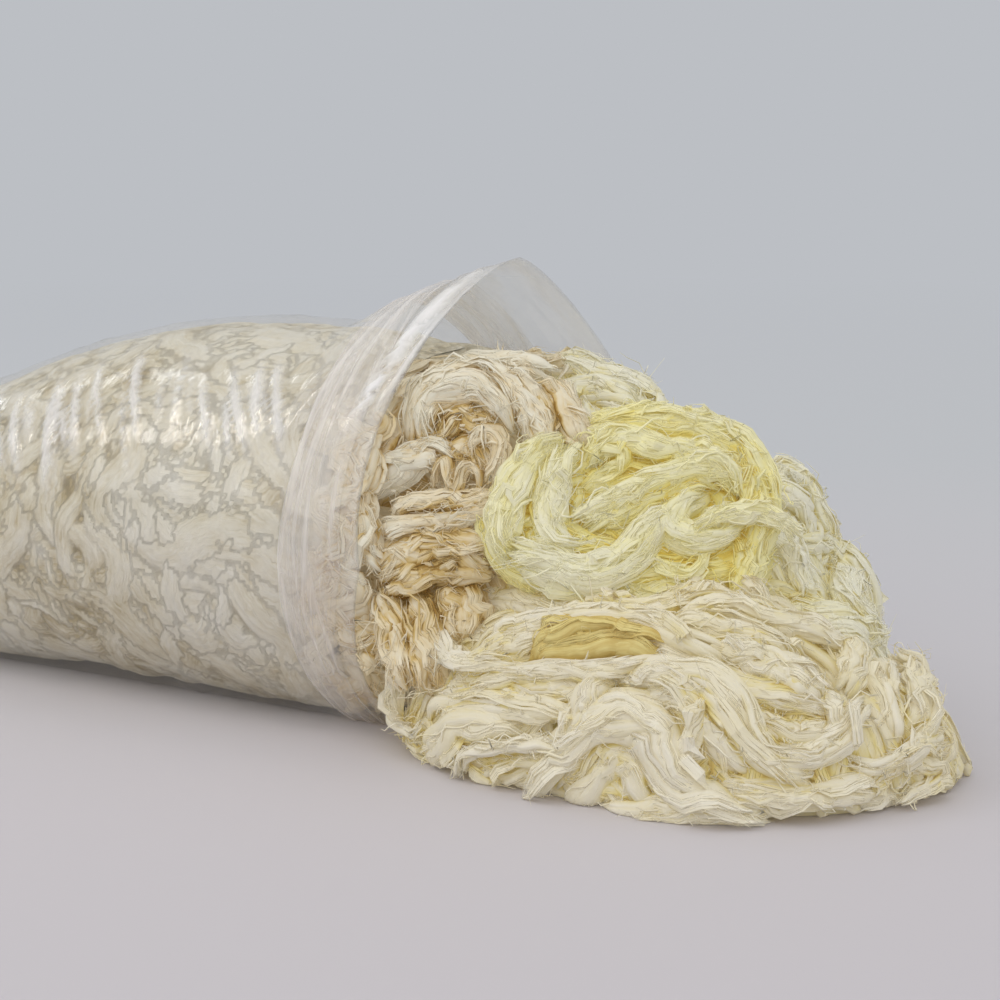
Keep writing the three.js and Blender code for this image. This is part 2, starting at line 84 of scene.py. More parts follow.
# Routes of the bundles that the photograph shows, as places in its 1000 pixels. Beside each are the bundle's
# width and thickness in millimetres, its number of bands, its lift off the heap and its paleness.
FRONT_ROUTES = {
    "top ridge": ([(402, 608), (430, 582), (460, 567), (480, 560), (505, 572), (545, 580), (590, 602),
                   (630, 614),
                   (670, 606), (705, 590), (740, 600), (765, 614)], 9, 6, 7, 1.5, 0.05),
    "second ridge": ([(408, 618), (430, 598), (458, 586), (490, 585), (530, 592), (580, 606), (640, 620)],
                     9, 5, 6, 1.5, 0.1),
    "third ridge": ([(402, 640), (410, 620), (430, 606), (465, 602), (510, 604), (560, 615), (620, 621)],
                    8, 5, 6, 2.0, 0.15),
    "hanging loop": ([(458, 626), (446, 610), (424, 608), (413, 624), (412, 650), (404, 672), (394, 692),
                      (393, 712), (404, 736)], 4.6, 4, 3, 9, 0.3),
    "loop's right leg": ([(440, 612), (453, 640), (466, 666), (492, 672), (530, 672)], 5, 4, 3, 6, 0.25),
    "second loop": ([(404, 640), (399, 662), (400, 692), (412, 722), (430, 736), (436, 722)], 4, 3, 3, 7,
                    0.25),
    "yellow core": ([(530, 660), (560, 650), (600, 647), (640, 648), (672, 654)], 11, 9, 4, 5, -0.62),
    "over the core": ([(484, 670), (508, 646), (545, 632), (600, 628), (650, 628), (690, 646), (740, 668)],
                      8, 6, 5, 4, 0.1),
    "left of the core": ([(478, 676), (500, 656), (524, 646), (556, 642)], 9, 6, 5, 4, 0.15),
    "under the core": ([(470, 686), (510, 677), (560, 671), (605, 672), (640, 666), (672, 656)], 6, 5, 4,
                       4, 0.15),
    "long band": ([(436, 694), (470, 689), (520, 689), (580, 692), (615, 694)], 8, 5, 5, 2, 0.1),
    "lower long band": ([(430, 718), (450, 702), (500, 702), (560, 710), (600, 716)], 9, 6, 5, 2.5, 0.15),
    "pale lump": ([(428, 762), (448, 742), (470, 725), (500, 728), (530, 742)], 13, 9, 7, 2, 0.2),
    "floor tail": ([(466, 778), (482, 760), (512, 752), (545, 748), (575, 742)], 6, 4, 4, 5, 0.35),
    "wide tail": ([(470, 778), (510, 770), (545, 762), (585, 750)], 8, 6, 5, 1, 0.15),
    "hump": ([(530, 792), (556, 768), (580, 742), (602, 726), (630, 720), (655, 728), (668, 752), (682, 780),
              (715, 798), (765, 806)], 15, 9, 8, 3, 0.25),
    "hump's side": ([(560, 800), (585, 782), (600, 760), (622, 748), (642, 760), (648, 785), (665, 805)],
                    14, 8, 6, 0, 0.15),
    "pillar": ([(566, 752), (582, 722), (596, 690), (618, 678)], 10, 6, 5, 3, 0.2),
    "drape": ([(618, 682), (660, 673), (705, 682), (732, 704), (748, 735), (775, 762), (820, 782)], 11, 7,
              7, 3, 0.2),
    "inner drape": ([(640, 694), (685, 698), (712, 724), (728, 752), (758, 776)], 9, 6, 5, 2, 0.15),
    "cross strand": ([(704, 694), (697, 728), (682, 756), (668, 774)], 3, 2.5, 2, 5, 0.25),
    "floor band": ([(598, 808), (640, 812), (690, 806), (735, 808), (776, 816)], 12, 7, 7, 2, 0.25),
    "right floor band": ([(700, 786), (745, 792), (800, 795), (850, 789), (885, 784)], 9, 6, 6, 2, 0.15),
    "upper right": ([(668, 616), (715, 606), (760, 618), (800, 632), (835, 644), (858, 656)], 9, 5, 7, 2,
                    0.2),
    "crest": ([(672, 604), (700, 588), (726, 584), (752, 598), (772, 616)], 6, 4, 4, 3, 0.2),
    "lower right": ([(665, 634), (705, 624), (745, 636), (775, 652), (810, 660)], 8, 5, 5, 2, 0.1),
    "pink bundle": ([(716, 645), (745, 660), (780, 676), (808, 690), (826, 704)], 15, 9, 9, 2, 0.25),
    "under pink": ([(684, 664), (725, 682), (765, 694), (805, 704), (832, 712)], 7, 5, 5, 2, 0.1),
    "white turn": ([(868, 702), (852, 716), (834, 740), (806, 754), (770, 758), (742, 748)], 7, 5, 5, 4, 0.3),
    "riser": ([(826, 690), (830, 712), (840, 736), (846, 758)], 6, 4, 4, 3, 0.2),
    "middle turn": ([(742, 712), (770, 726), (800, 737), (834, 728)], 7, 5, 4, 2, 0.15),
    "right fall": ([(880, 660), (882, 690), (890, 720), (902, 748)], 8, 6, 6, 2, 0.15),
    "far fall": ([(898, 652), (914, 680), (918, 715), (906, 748)], 12, 8, 8, 2, 0.2),
    "edge fall": ([(922, 690), (930, 718), (944, 745), (940, 772)], 6, 4, 5, 2, 0.15),
    "end curl": ([(862, 790), (880, 774), (906, 764), (932, 770), (922, 786), (894, 792)], 4, 3, 4, 3, 0.2),
    "white end": ([(940, 738), (912, 750), (890, 762), (866, 766), (846, 758)], 6, 4, 5, 3, 0.25),
    "shoulder": ([(832, 642), (848, 652), (850, 672), (842, 694)], 9, 6, 6, 2, 0.1),
}
WREATH_ROUTES = {
    "left wall": ([(566, 440), (536, 456), (516, 486), (504, 518), (498, 544), (512, 562)], 9, 8, 8, 3, 0.25),
    "lower crest": ([(502, 545), (524, 556), (556, 568), (588, 580), (616, 571), (640, 547), (664, 522),
                     (690, 508)],
                    9, 8, 9, 5, 0.4),
    "lower crest's foot": ([(512, 562), (545, 574), (580, 584), (616, 580)], 8, 6, 5, 3, 0.25),
    "inner wall": ([(582, 448), (562, 468), (552, 500), (550, 530), (566, 550), (592, 548)], 9, 7, 8, 4, 0.3),
    "outer arch": ([(556, 446), (596, 432), (642, 425), (692, 430), (732, 446), (756, 476), (764, 512),
                    (756, 552),
                    (744, 584)], 10, 8, 10, 2, -0.05),
    "second arch": ([(584, 474), (602, 450), (630, 442), (660, 454), (696, 460), (726, 474), (738, 498)],
                    7, 6, 7, 5, 0.1),
    "small turn": ([(588, 470), (600, 456), (622, 457), (618, 470), (600, 474)], 4, 3, 3, 6, 0.05),
    "smooth middle": ([(580, 492), (618, 482), (660, 474), (704, 464)], 11, 6, 5, 1, -0.2),
    "diagonal": ([(568, 526), (600, 510), (642, 491), (682, 475), (712, 470), (730, 480), (738, 504)],
                 6, 5, 8, 7, 0.15),
    "lower diagonal": ([(582, 534), (624, 512), (664, 493), (700, 482), (722, 490)], 6, 4, 7, 5, 0.05),
    "pale lobe": ([(704, 496), (682, 508), (668, 528), (690, 540), (722, 534), (744, 520)], 9, 7, 8, 5, 0.35),
    "crossing": ([(684, 532), (720, 523), (752, 520), (782, 528), (802, 542)], 5, 3, 5, 8, 0.3),
    "right strands": ([(740, 448), (752, 476), (750, 504), (736, 520)], 7, 5, 7, 4, 0.0),
    "far strands": ([(756, 462), (765, 488), (763, 518), (760, 545)], 6, 5, 6, 2, -0.05),
    "right column": ([(740, 530), (750, 556), (745, 582), (738, 602)], 9, 7, 7, 0, -0.1),
    "hollow's strand": ([(648, 552), (660, 570), (690, 576), (702, 560), (694, 546)], 3, 2.5, 3, 4, 0.1),
    "hollow's floor": ([(650, 585), (668, 560), (680, 545)], 13, 7, 4, -6, -0.3),
    "lower scraps": ([(606, 588), (640, 590), (680, 584), (712, 578)], 7, 5, 7, 0, 0.0),
}
MOUTH_ROUTES = {
    "outer arch": ([(424, 455), (428, 422), (442, 396), (470, 384), (500, 388), (518, 408), (526, 436)],
                   12, 8, 6, 6, 0.4),
    "arch's right leg": ([(498, 376), (526, 394), (542, 424), (550, 454)], 9, 6, 8, 4, 0.35),
    "right bundle": ([(540, 380), (558, 404), (572, 430), (586, 452)], 9, 6, 7, 0, 0.15),
    "inner tube": ([(484, 468), (484, 450), (498, 440), (510, 452), (506, 474), (492, 488)], 4.5, 4.5, 2,
                   7, -0.05),
    "inner folds": ([(446, 448), (462, 424), (486, 430), (506, 446)], 9, 6, 5, 4, 0.0),
    "lower folds": ([(452, 462), (470, 448), (486, 458), (492, 478)], 7, 5, 4, 4, -0.05),
    "left flat": ([(356, 502), (388, 482), (416, 464), (440, 456), (458, 468)], 11, 6, 6, 5, 0.5),
    "back arch": ([(394, 455), (398, 424), (412, 398), (436, 382), (458, 376)], 7, 5, 5, 0, 0.0),
    "back top": ([(412, 372), (452, 358), (496, 358), (540, 366)], 11, 6, 7, -12, 0.3),
    "upper band": ([(392, 512), (436, 505), (478, 503), (508, 496)], 8, 6, 4, 4, 0.1),
    "lower band": ([(378, 534), (428, 526), (470, 520), (506, 508)], 6, 5, 4, 5, 0.25),
    "tan bundle": ([(376, 574), (408, 556), (450, 548), (492, 556)], 16, 9, 9, 1, -0.05),
    "tan foot": ([(378, 596), (410, 580), (450, 570), (490, 570)], 10, 7, 6, 0, -0.1),
    "left strip": ([(372, 508), (368, 534), (378, 556), (392, 572)], 6, 4, 5, 5, 0.3),
    "low left": ([(378, 584), (386, 612), (394, 650), (402, 690)], 10, 7, 6, -2, 0.0),
    "low middle": ([(404, 588), (416, 616), (424, 650), (430, 690)], 12, 8, 7, -3, -0.15),
    "low right": ([(440, 580), (452, 604), (462, 636)], 12, 8, 6, -4, -0.2),
}
SQUIGGLE = [(438, 492), (446, 472), (455, 466), (457, 484), (463, 495), (469, 478), (478, 470), (486, 478),
            (482, 494)]
BACK_ROUTES = {
    "top ridge": ([(520, 364), (562, 367), (602, 374), (636, 382), (656, 402), (660, 428)], 11, 7, 9, 0,
                  0.15),
    "second ridge": ([(528, 386), (580, 392), (622, 396), (650, 412)], 10, 6, 7, 0, -0.1),
    "small ends": ([(580, 400), (588, 418), (600, 438)], 6, 5, 5, 1, 0.15),
    "rear arch": ([(762, 470), (798, 474), (822, 490), (834, 520), (846, 548)], 10, 7, 9, 0, 0.05),
    "near arch": ([(766, 492), (790, 500), (804, 522), (812, 548)], 12, 7, 8, 1, 0.1),
    "between gaps": ([(782, 536), (796, 560), (802, 582), (822, 598)], 5, 4, 5, 1, 0.0),
    "outer fall": ([(802, 540), (832, 550), (854, 564), (868, 590), (874, 616), (890, 634)], 10, 7, 9, 0,
                   0.1),
    "inner fall": ([(828, 556), (842, 580), (848, 604), (866, 622), (884, 640)], 9, 6, 7, 0, 0.0),
    "foot": ([(756, 612), (800, 620), (842, 626), (876, 640)], 13, 8, 9, 0, -0.1),
    "behind": ([(744, 592), (780, 586), (812, 590), (832, 610)], 9, 6, 7, -2, -0.15),
}


# Numbers and curves

def lerp(a, b, t):
    """The value that is t of the way from a to b."""
    return a + (b - a) * t


def smooth(v):
    """An S-curve from 0 to 1, level at both ends: three v squared less two v cubed."""
    v = np.clip(v, 0, 1)
    return v * v * (3 - 2 * v)


def unit(v):
    """Vectors divided by their length."""
    return v / np.maximum(np.linalg.norm(v, axis=-1, keepdims=True), 1e-9)


def wander(rng, count, t, turns, ways=1):
    """Smooth random values from about -1 to 1 along t: three sines of rising rate and random phase,
    added."""
    total = np.zeros((count, t.shape[-1], ways))
    for octave, weight in enumerate((1, 0.55, 0.3)):
        rate = turns * (1 + octave) * rng.uniform(0.7, 1.4, (count, 1, ways))
        phase = rng.uniform(0, TURN, (count, 1, ways))
        total += weight * np.sin(TURN * rate * t.reshape(-1, t.shape[-1], 1) + phase)
    return total / 1.3


def spline(points, steps=160):
    """Points spaced evenly along the Catmull-Rom curve through a few points, with its ends mirrored out."""
    p = np.asarray(points, float)
    p = np.vstack([2 * p[0] - p[1], p, 2 * p[-1] - p[-2]])
    s = np.linspace(0, len(p) - 3 - 1e-6, steps * 2)
    i = s.astype(int)
    f = (s - i)[:, None]
    a, b, c, d = p[i], p[i + 1], p[i + 2], p[i + 3]
    dense = 0.5 * (2 * b + (c - a) * f + (2 * a - 5 * b + 4 * c - d) * f**2 + (3 * b - a - 3 * c + d) * f**3)
    run = np.concatenate([[0], np.cumsum(np.linalg.norm(np.diff(dense, axis=0), axis=1))])
    even = np.linspace(0, run[-1], steps)
    return np.stack([np.interp(even, run, dense[:, k]) for k in range(3)], -1)


def along_curve(curve, t):
    """A curve's points at the shares t of its length, for t of any shape."""
    place = np.linspace(0, 1, len(curve))
    return np.stack([np.interp(t, place, curve[:, k]) for k in range(3)], -1)


# What the camera sees

def view_axes():
    """Unit vectors of the photograph's viewpoint: to its right, up, and back towards the camera."""
    turn, rise = math.radians(VIEW_TURN), math.radians(VIEW_RISE)
    back = np.array([math.sin(turn) * math.cos(rise), -math.cos(turn) * math.cos(rise), math.sin(rise)])
    right = np.array([math.cos(turn), math.sin(turn), 0])
    return right, np.cross(back, right), back


def sight(place):
    """The camera's position and the ray through a place in the photograph, one unit deep."""
    right, up, back = view_axes()
    spread = math.tan(math.radians(VIEW_ANGLE / 2)) / (PHOTO_SIZE / 2)
    across, down = place[0] - PHOTO_SIZE / 2, place[1] - PHOTO_SIZE / 2
    return np.asarray(VIEW_TARGET) + back * VIEW_DISTANCE, (right * across - up * down) * spread - back


def seen_on_mound(top, hold, route, lift):
    """A route in the photograph laid on a hank: where each ray first meets it, or where it passes closest
    by, at most 10 mm off, raised along the surface's normal."""
    points = []
    deep = np.arange(VIEW_DISTANCE - 180, VIEW_DISTANCE + 160, 0.5)[:, None]
    for place in route:
        start, ray = sight(place)
        line = start + ray * deep
        x, y = hold(line[:, 0], line[:, 1])
        near = np.stack([x, y, np.clip(line[:, 2], 0, top(x, y))], -1)
        far = np.linalg.norm(line - near, axis=-1)
        first = np.argmax(far < 0.3) if far.min() < 0.3 else np.argmin(far)
        hit = near[first] + (line[first] - near[first]) * min(1, 10 / max(far[first], 1e-6))
        points.append(hit + mound_normal(top, hit[:1], hit[1:2])[0] * lift)
    return np.array(points)


def seen_on_plane(point, normal, route, lift):
    """A route in the photograph laid on a plane, raised along the plane's normal."""
    points = []
    for place in route:
        start, ray = sight(place)
        depth = (np.asarray(point) - start) @ normal / (ray @ normal)
        points.append(start + ray * depth + np.asarray(normal) * lift)
    return np.array(points)


# The bag's surface

def bag_profile(x):
    """Top, lowest point, half width and floor press at a station: sines of how full the bag is there."""
    filled = np.clip((x - BAG_BACK) / (BAG_FULL - BAG_BACK), 0, 1)
    top = lerp(SEAM_HEIGHT + 1.5, BAG_TOP, np.sin(filled * np.pi / 2) ** 0.85)
    low = (SEAM_HEIGHT - 1.5) * (1 - np.clip(filled / 0.45, 0, 1)) ** 1.6
    width = lerp(SEAM_HALF_WIDTH, HALF_WIDTH, np.sin(np.clip(filled / 0.55, 0, 1) * np.pi / 2))
    return top, low, width, FLAT_PRESS * smooth(filled / 0.5)


def rim_x(angle):
    """Where the rim stands along X at an angle round the mouth: further on the far side than on the
    near."""
    s = np.sin(angle)
    return RIM_MIDDLE + RIM_SKEW * np.cos(angle) - 9 * np.maximum(0, s) + 17 * np.minimum(0, s)


def hood_rise(mouth, angle):
    """The film's peak over the mouth: a pointed bell over the angle, growing towards the rim."""
    return HOOD_RISE * np.clip(mouth, 0, 1) ** 0.85 * np.exp(-((np.abs(angle - 1.45) / 0.62) ** 1.4))


def bag_at(x, angle, inset):
    """A point of the bag: an oval pressed flat by the floor, under the hood's bell at its mouth."""
    angle = np.mod(angle, TURN)
    mouth = np.clip((x - MOUTH) / (rim_x(angle) - MOUTH), 0, 1)
    top, low, width, press = bag_profile(np.minimum(x, MOUTH))
    half = lerp(width, RIM_HALF_WIDTH, mouth) - inset
    high = (lerp(top, BAG_TOP - 4, mouth) - low + press) / 2
    z = low - press + high + np.maximum(high - inset, 0.2) * np.sin(angle) + hood_rise(mouth, angle)
    return np.stack(np.broadcast_arrays(x, half * np.cos(angle), np.maximum(low + inset, z)), -1)


def press_in(points, inset):
    """Points moved back inside the film: each is pulled towards the section's middle until it lies on the
    oval that is inset from the film, and lifted off the floor. Points past the rim are only lifted."""
    x, y, z = np.moveaxis(points, -1, 0)
    top, low, width, press = bag_profile(np.minimum(x, MOUTH))
    high = (top - low + press) / 2
    angle = np.mod(np.arctan2((z - low + press - high) / high, y / width), TURN)
    reach = (x - MOUTH) / (rim_x(angle) - MOUTH)
    mouth = np.clip(reach, 0, 1)
    high = (lerp(top, BAG_TOP - 4, mouth) - low + press) / 2
    middle = low - press + high + hood_rise(mouth, angle) * 0.6
    half = lerp(width, RIM_HALF_WIDTH, mouth) - inset
    far = np.hypot(y / half, (z - middle) / np.maximum(high - inset, 0.5))
    shrink = np.where(reach > 1.02, 1, np.minimum(1, 1 / np.maximum(far, 1e-6)))
    floor = np.where(reach > 1.02, 0.25, low + inset)
    return np.stack([x, y * shrink, np.maximum(middle + (z - middle) * shrink, floor)], -1)


def streaks(rng, x, angle, count, spans, width, reach, size, lean=0.0):
    """A field of short ripples: the sum of narrow bells across X that run on as wide bells round the bag,
    each leaning by about lean millimetres of X for each radian."""
    total = np.zeros(np.broadcast(x, angle).shape)
    for _ in range(count):
        xc, ac = rng.uniform(*spans[0]), rng.uniform(*spans[1])
        da = np.angle(np.exp(1j * (angle - ac)))
        across = (x - xc - rng.normal(lean, 6) * da - rng.normal(0, 4) * da**2) / rng.uniform(*width)
        total += rng.uniform(*size) * np.exp(-(across**2) - (da / rng.uniform(*reach)) ** 2)
    return total


# The heap's surfaces

def front_top(x, y):
    """Height of the front hank: a low loaf with a superellipse for its outline."""
    along = (x - (FRONT["x0"] + FRONT["x1"]) / 2) / ((FRONT["x1"] - FRONT["x0"]) / 2)
    across = (y - FRONT["yc"] - 25 * np.maximum(0, along) ** 3) / FRONT["half"]
    edge = np.abs(along) ** 2.6 + np.abs(across) ** 2.6
    return (FRONT["top"] - 9 * smooth((x - 118) / 34)) * np.sqrt(np.maximum(0, 1 - edge))


def back_top(x, y):
    """Height of the back hank: round across, and falling in three smooth steps along X."""
    across = (y - BACK["yc"]) / lerp(29, BACK["half"], smooth((x - 38) / 28))
    run = x + BACK["slant"] * np.maximum(0, y - 5)
    high = BACK["top"] - 13 * smooth((run - 56) / 18) - 13 * smooth((run - 92) / 18)
    high = high - 30 * smooth((run - 110) / 22)
    ends = np.clip((x - BACK["x0"]) / 6, 0, 1) * np.clip((BACK["x1"] - run) / 16, 0, 1)
    return high * np.sqrt(np.maximum(0, 1 - np.abs(across) ** 2.8) * ends)


def hold_front(x, y):
    """Places moved back inside the front hank's outline, along the line to its middle."""
    middle, reach = (FRONT["x0"] + FRONT["x1"]) / 2, (FRONT["x1"] - FRONT["x0"]) / 2
    along = (x - middle) / reach
    drift = 25 * np.clip(along, 0, 1) ** 3
    across = (y - FRONT["yc"] - drift) / FRONT["half"]
    edge = (np.abs(along) ** 2.6 + np.abs(across) ** 2.6) ** (1 / 2.6)
    shrink = np.minimum(1, 0.99 / np.maximum(edge, 1e-6))
    return middle + reach * along * shrink, FRONT["yc"] + drift + FRONT["half"] * across * shrink


def hold_back(x, y):
    """Places moved back inside the back hank's outline."""
    half = lerp(29, BACK["half"], smooth((x - 38) / 28)) * 0.985
    y = np.clip(y, BACK["yc"] - half, BACK["yc"] + half)
    return np.clip(x, BACK["x0"] + 1, BACK["x1"] - 1 - BACK["slant"] * np.maximum(0, y - 5)), y


def mound_normal(top, x, y):
    """The direction out of a height surface, from its slopes, kept from lying flat at its steep edges."""
    dx = np.clip((top(x + 2, y) - top(x - 2, y)) / 4, -2, 2)
    dy = np.clip((top(x, y + 2) - top(x, y - 2)) / 4, -2, 2)
    return unit(np.stack([-dx, -dy, np.ones_like(dx)], -1))


def wreath_axes():
    """Unit vectors of the wreath: across, up its slope, and out of its face."""
    turn, lean = math.radians(WREATH["turn"]), math.radians(WREATH["lean"])
    across = np.array([math.cos(turn), math.sin(turn), 0])
    up = np.array([-math.sin(turn) * math.sin(lean), math.cos(turn) * math.sin(lean), math.cos(lean)])
    return across, up, np.cross(across, up)


def wreath_at(right, up, out):
    """Points given by their distances across, up and out of the wreath's centre."""
    axes = wreath_axes()
    parts = [np.asarray(d)[..., None] * axis for d, axis in zip((right, up, out), axes)]
    return np.asarray(WREATH["centre"]) + parts[0] + parts[1] + parts[2]


# Strands

class Strands:
    """Many paths of equal length in samples, each with a frame and a section. path, side and out are arrays
    of (strand, sample, 3), width and thick of (strand, sample)."""

    def __init__(self, path, lie, width, thick, tint=0.0):
        self.path = path
        way = unit(np.gradient(path, axis=1))
        side = np.cross(way, lie)
        weak = np.linalg.norm(side, axis=-1, keepdims=True) < 0.15
        side = np.where(weak, np.cross(way, np.array([0.3, 1.0, 0.2])), side)
        self.side = unit(side)
        self.out = np.cross(self.side, way)
        self.width = np.broadcast_to(width, path.shape[:2])
        self.thick = np.broadcast_to(thick, path.shape[:2])
        self.tint = np.broadcast_to(np.asarray(tint, float).reshape(-1, 1), path.shape[:2])
        self.fray = np.zeros(path.shape[:2])


def ends_drawn_in(count, samples, sharp=0.12, least=0.06):
    """How full each sample's section is: 1 along the strand, falling to least over a share of each end."""
    t = np.linspace(0, 1, samples)
    full = smooth(np.minimum(t, 1 - t) / sharp) ** 0.42
    return np.broadcast_to(lerp(least, 1, full), (count, samples))


def dive(samples, deep, share=0.16):
    """How far each sample sinks: deep at both ends, nothing past a share of the length from them."""
    t = np.linspace(0, 1, samples)
    return deep * (1 - smooth(np.minimum(t, 1 - t) / share))


def mound_strands(rng, top, hold, count, box, heading, length, depth, width, thick, samples=20, turn=0.5,
                  tint=0.0):
    """Bands that wander over a height surface. Each starts at a random place in box and is the running sum
    of equal steps in a heading that sways, held inside the outline at the surface's height less a random
    depth."""
    t = np.linspace(0, 1, samples)
    x0 = rng.uniform(box[0], box[1], count)
    y0 = rng.uniform(box[2], box[3], count)
    run = rng.uniform(*length, count)
    sway = wander(rng, count, t, 0.8)[..., 0] * turn
    way = np.radians(rng.normal(heading[0], heading[1], count))[:, None] + sway
    step = (run / samples)[:, None]
    x = x0[:, None] + np.cumsum(np.cos(way) * step, 1) - run[:, None] / 2
    y = y0[:, None] + np.cumsum(np.sin(way) * step, 1)
    x, y = hold(x, y)
    deep = rng.uniform(*depth, count)[:, None] + 1.2 * wander(rng, count, t, 1.5)[..., 0] + dive(samples, 3.5)
    high = top(x, y)
    inside = smooth(high / 14)
    z = np.maximum(high - deep * inside, 1.2 + 3 * rng.uniform(0, 1, (count, 1)))
    size = ends_drawn_in(count, samples)
    wide = rng.uniform(*width, count)[:, None] * size
    flat = rng.uniform(*thick, count)[:, None] * size
    tints = tint + rng.normal(0, 0.08, count)
    return Strands(np.stack([x, y, z], -1), mound_normal(top, x, y), wide, flat, tints)


def skirt_strands(rng, count, outline, high, length, width, samples=22):
    """Bands that lie along the foot of a hank, each a stretch of its outline at a random height."""
    t = np.linspace(0, 1, samples)
    turn = rng.uniform(0, TURN, (count, 1)) + rng.uniform(*length, (count, 1)) * (t - 0.5)
    share = 0.97 - 0.05 * rng.uniform(0, 1, (count, 1)) + 0.02 * wander(rng, count, t, 1)[..., 0]
    x, y = outline(turn, share)
    z = rng.uniform(1.5, high, (count, 1)) + 1.2 * wander(rng, count, t, 1)[..., 0]
    size = rng.uniform(*width, (count, 1)) * ends_drawn_in(count, samples)
    lie = np.stack([np.cos(turn) * 0.8, np.sin(turn) * 0.8, np.full_like(x, 0.6)], -1)
    return Strands(np.stack([x, y, np.maximum(z, 1.2)], -1), lie, size, size * 0.6,
                   rng.normal(0.1, 0.08, count))


def face_strands(rng, count, centre, normal, reach, deep, heading, length, width, samples=24, tint=0.0):
    """Bands that wander over an oval face. reach holds its half width and half height, deep the range of
    their distances out of it, and heading the middle and the spread of their direction in degrees."""
    right = unit(np.cross((0, 0, 1.0), -np.asarray(normal)))
    up = np.cross(-np.asarray(normal), right) * -1
    t = np.linspace(0, 1, samples)
    turn, far = rng.uniform(0, TURN, (count, 1)), rng.uniform(0, 1, (count, 1)) ** 0.5
    run = rng.uniform(*length, (count, 1)) * (t - 0.5)
    way = np.radians(rng.normal(*heading, (count, 1)))
    sway = 3 * wander(rng, count, t, 0.8, 2)
    a = reach[0] * far * np.cos(turn) + run * np.cos(way) + sway[..., 0]
    b = reach[1] * far * np.sin(turn) + run * np.sin(way) + sway[..., 1]
    over = np.maximum(1, np.hypot(a / reach[0], b / reach[1]))[..., None]
    path = np.asarray(centre) + (right * a[..., None] + up * b[..., None]) / over
    out = rng.uniform(*deep, (count, 1)) + wander(rng, count, t, 1)[..., 0] - dive(samples, 3)
    path = path + normal * out[..., None]
    size = rng.uniform(*width, (count, 1)) * ends_drawn_in(count, samples)
    return Strands(path, np.broadcast_to(normal, path.shape), size, size * 0.6,
                   tint + rng.normal(0, 0.08, count))


def back_outline(turn, share):
    """The back hank's outline at a share of its reach: a superellipse cut off slantwise at its loose
    end."""
    x = (BACK["x0"] + BACK["x1"]) / 2 + (BACK["x1"] - BACK["x0"]) / 2 * share * np.cos(turn)
    y = BACK["yc"] + BACK["half"] * share * np.sign(np.sin(turn)) * np.abs(np.sin(turn)) ** 0.6
    return hold_back(x, y)


def front_outline(turn, share):
    """The front hank's outline at a share of its reach: a superellipse that drifts back at its far end."""
    along = np.sign(np.cos(turn)) * np.abs(np.cos(turn)) ** 0.77 * share
    across = np.sign(np.sin(turn)) * np.abs(np.sin(turn)) ** 0.77 * share
    x = (FRONT["x0"] + FRONT["x1"]) / 2 + (FRONT["x1"] - FRONT["x0"]) / 2 * along
    return x, FRONT["yc"] + 25 * np.clip(along, 0, 1) ** 3 + FRONT["half"] * across


def bundle(rng, curve, half, count, lies, samples=28, loose=0.3, cover=0.8, tint=0.0, swell=0.3, flat=0.6,
           sink=3.0):
    """Bands gathered round a guide curve. Each keeps a random place in the guide's oval section, half wide
    and half thick, and drifts in it by a smooth random curve. swell narrows the section at both ends, and
    sink is how far the ends dive."""
    way = unit(np.gradient(curve, axis=0))
    side = unit(np.cross(way, lies))
    out = np.cross(side, way)
    span = rng.uniform(cover, 1, (count, 1))
    t = rng.uniform(0, 1, (count, 1)) * (1 - span) + span * np.linspace(0, 1, samples)
    place = (np.arange(count)[:, None] + rng.uniform(0, 0.6, (count, 1))) * TURN * 0.382
    far = rng.uniform(0.15, 1, (count, 1)) ** 0.5 * (count > 1)
    drift = wander(rng, count, np.linspace(0, 1, samples), 1.1, 2) * loose
    u, v = far * np.cos(place) + drift[..., 0], far * np.sin(place) + drift[..., 1]
    over = np.maximum(1, np.hypot(u, v))
    u, v = u / over, v / over
    narrow = 1 - swell * (2 * t - 1) ** 2
    size = 2.25 * half[0] / max(1, count) ** 0.5 * rng.uniform(0.7, 1.4, (count, 1))
    size = size * ends_drawn_in(count, samples, 0.2, 0.15)
    room = max(0.0, 1 - 0.5 / max(1, count) ** 0.5)
    s, o = along_curve(side, t), along_curve(out, t)
    path = along_curve(curve, t) + s * (u * half[0] * room * narrow)[..., None]
    path = path + o * (v * half[1] * room * narrow - dive(samples, sink))[..., None]
    lie_now = s * (0.8 * u)[..., None] + o * (v[..., None] * 0.7 + 0.6)
    return Strands(path, lie_now, size, size * flat * (half[1] / half[0]) ** 0.5 * 1.15,
                   tint + rng.normal(0, 0.06, count))


def routed(rng, routes, seen, lies_of):
    """The bundles of a table of routes. seen turns places in the photograph into points, and lies_of gives
    the direction out of the heap along the curve through them."""
    groups = []
    for route, wide, thick, count, lift, pale in routes.values():
        curve = spline(seen(route, lift))
        more = round(count * 1.6) if count > 1 else 1
        groups.append(bundle(rng, curve, (wide / 2, thick / 2), more, lies_of(curve), tint=pale))
    return groups


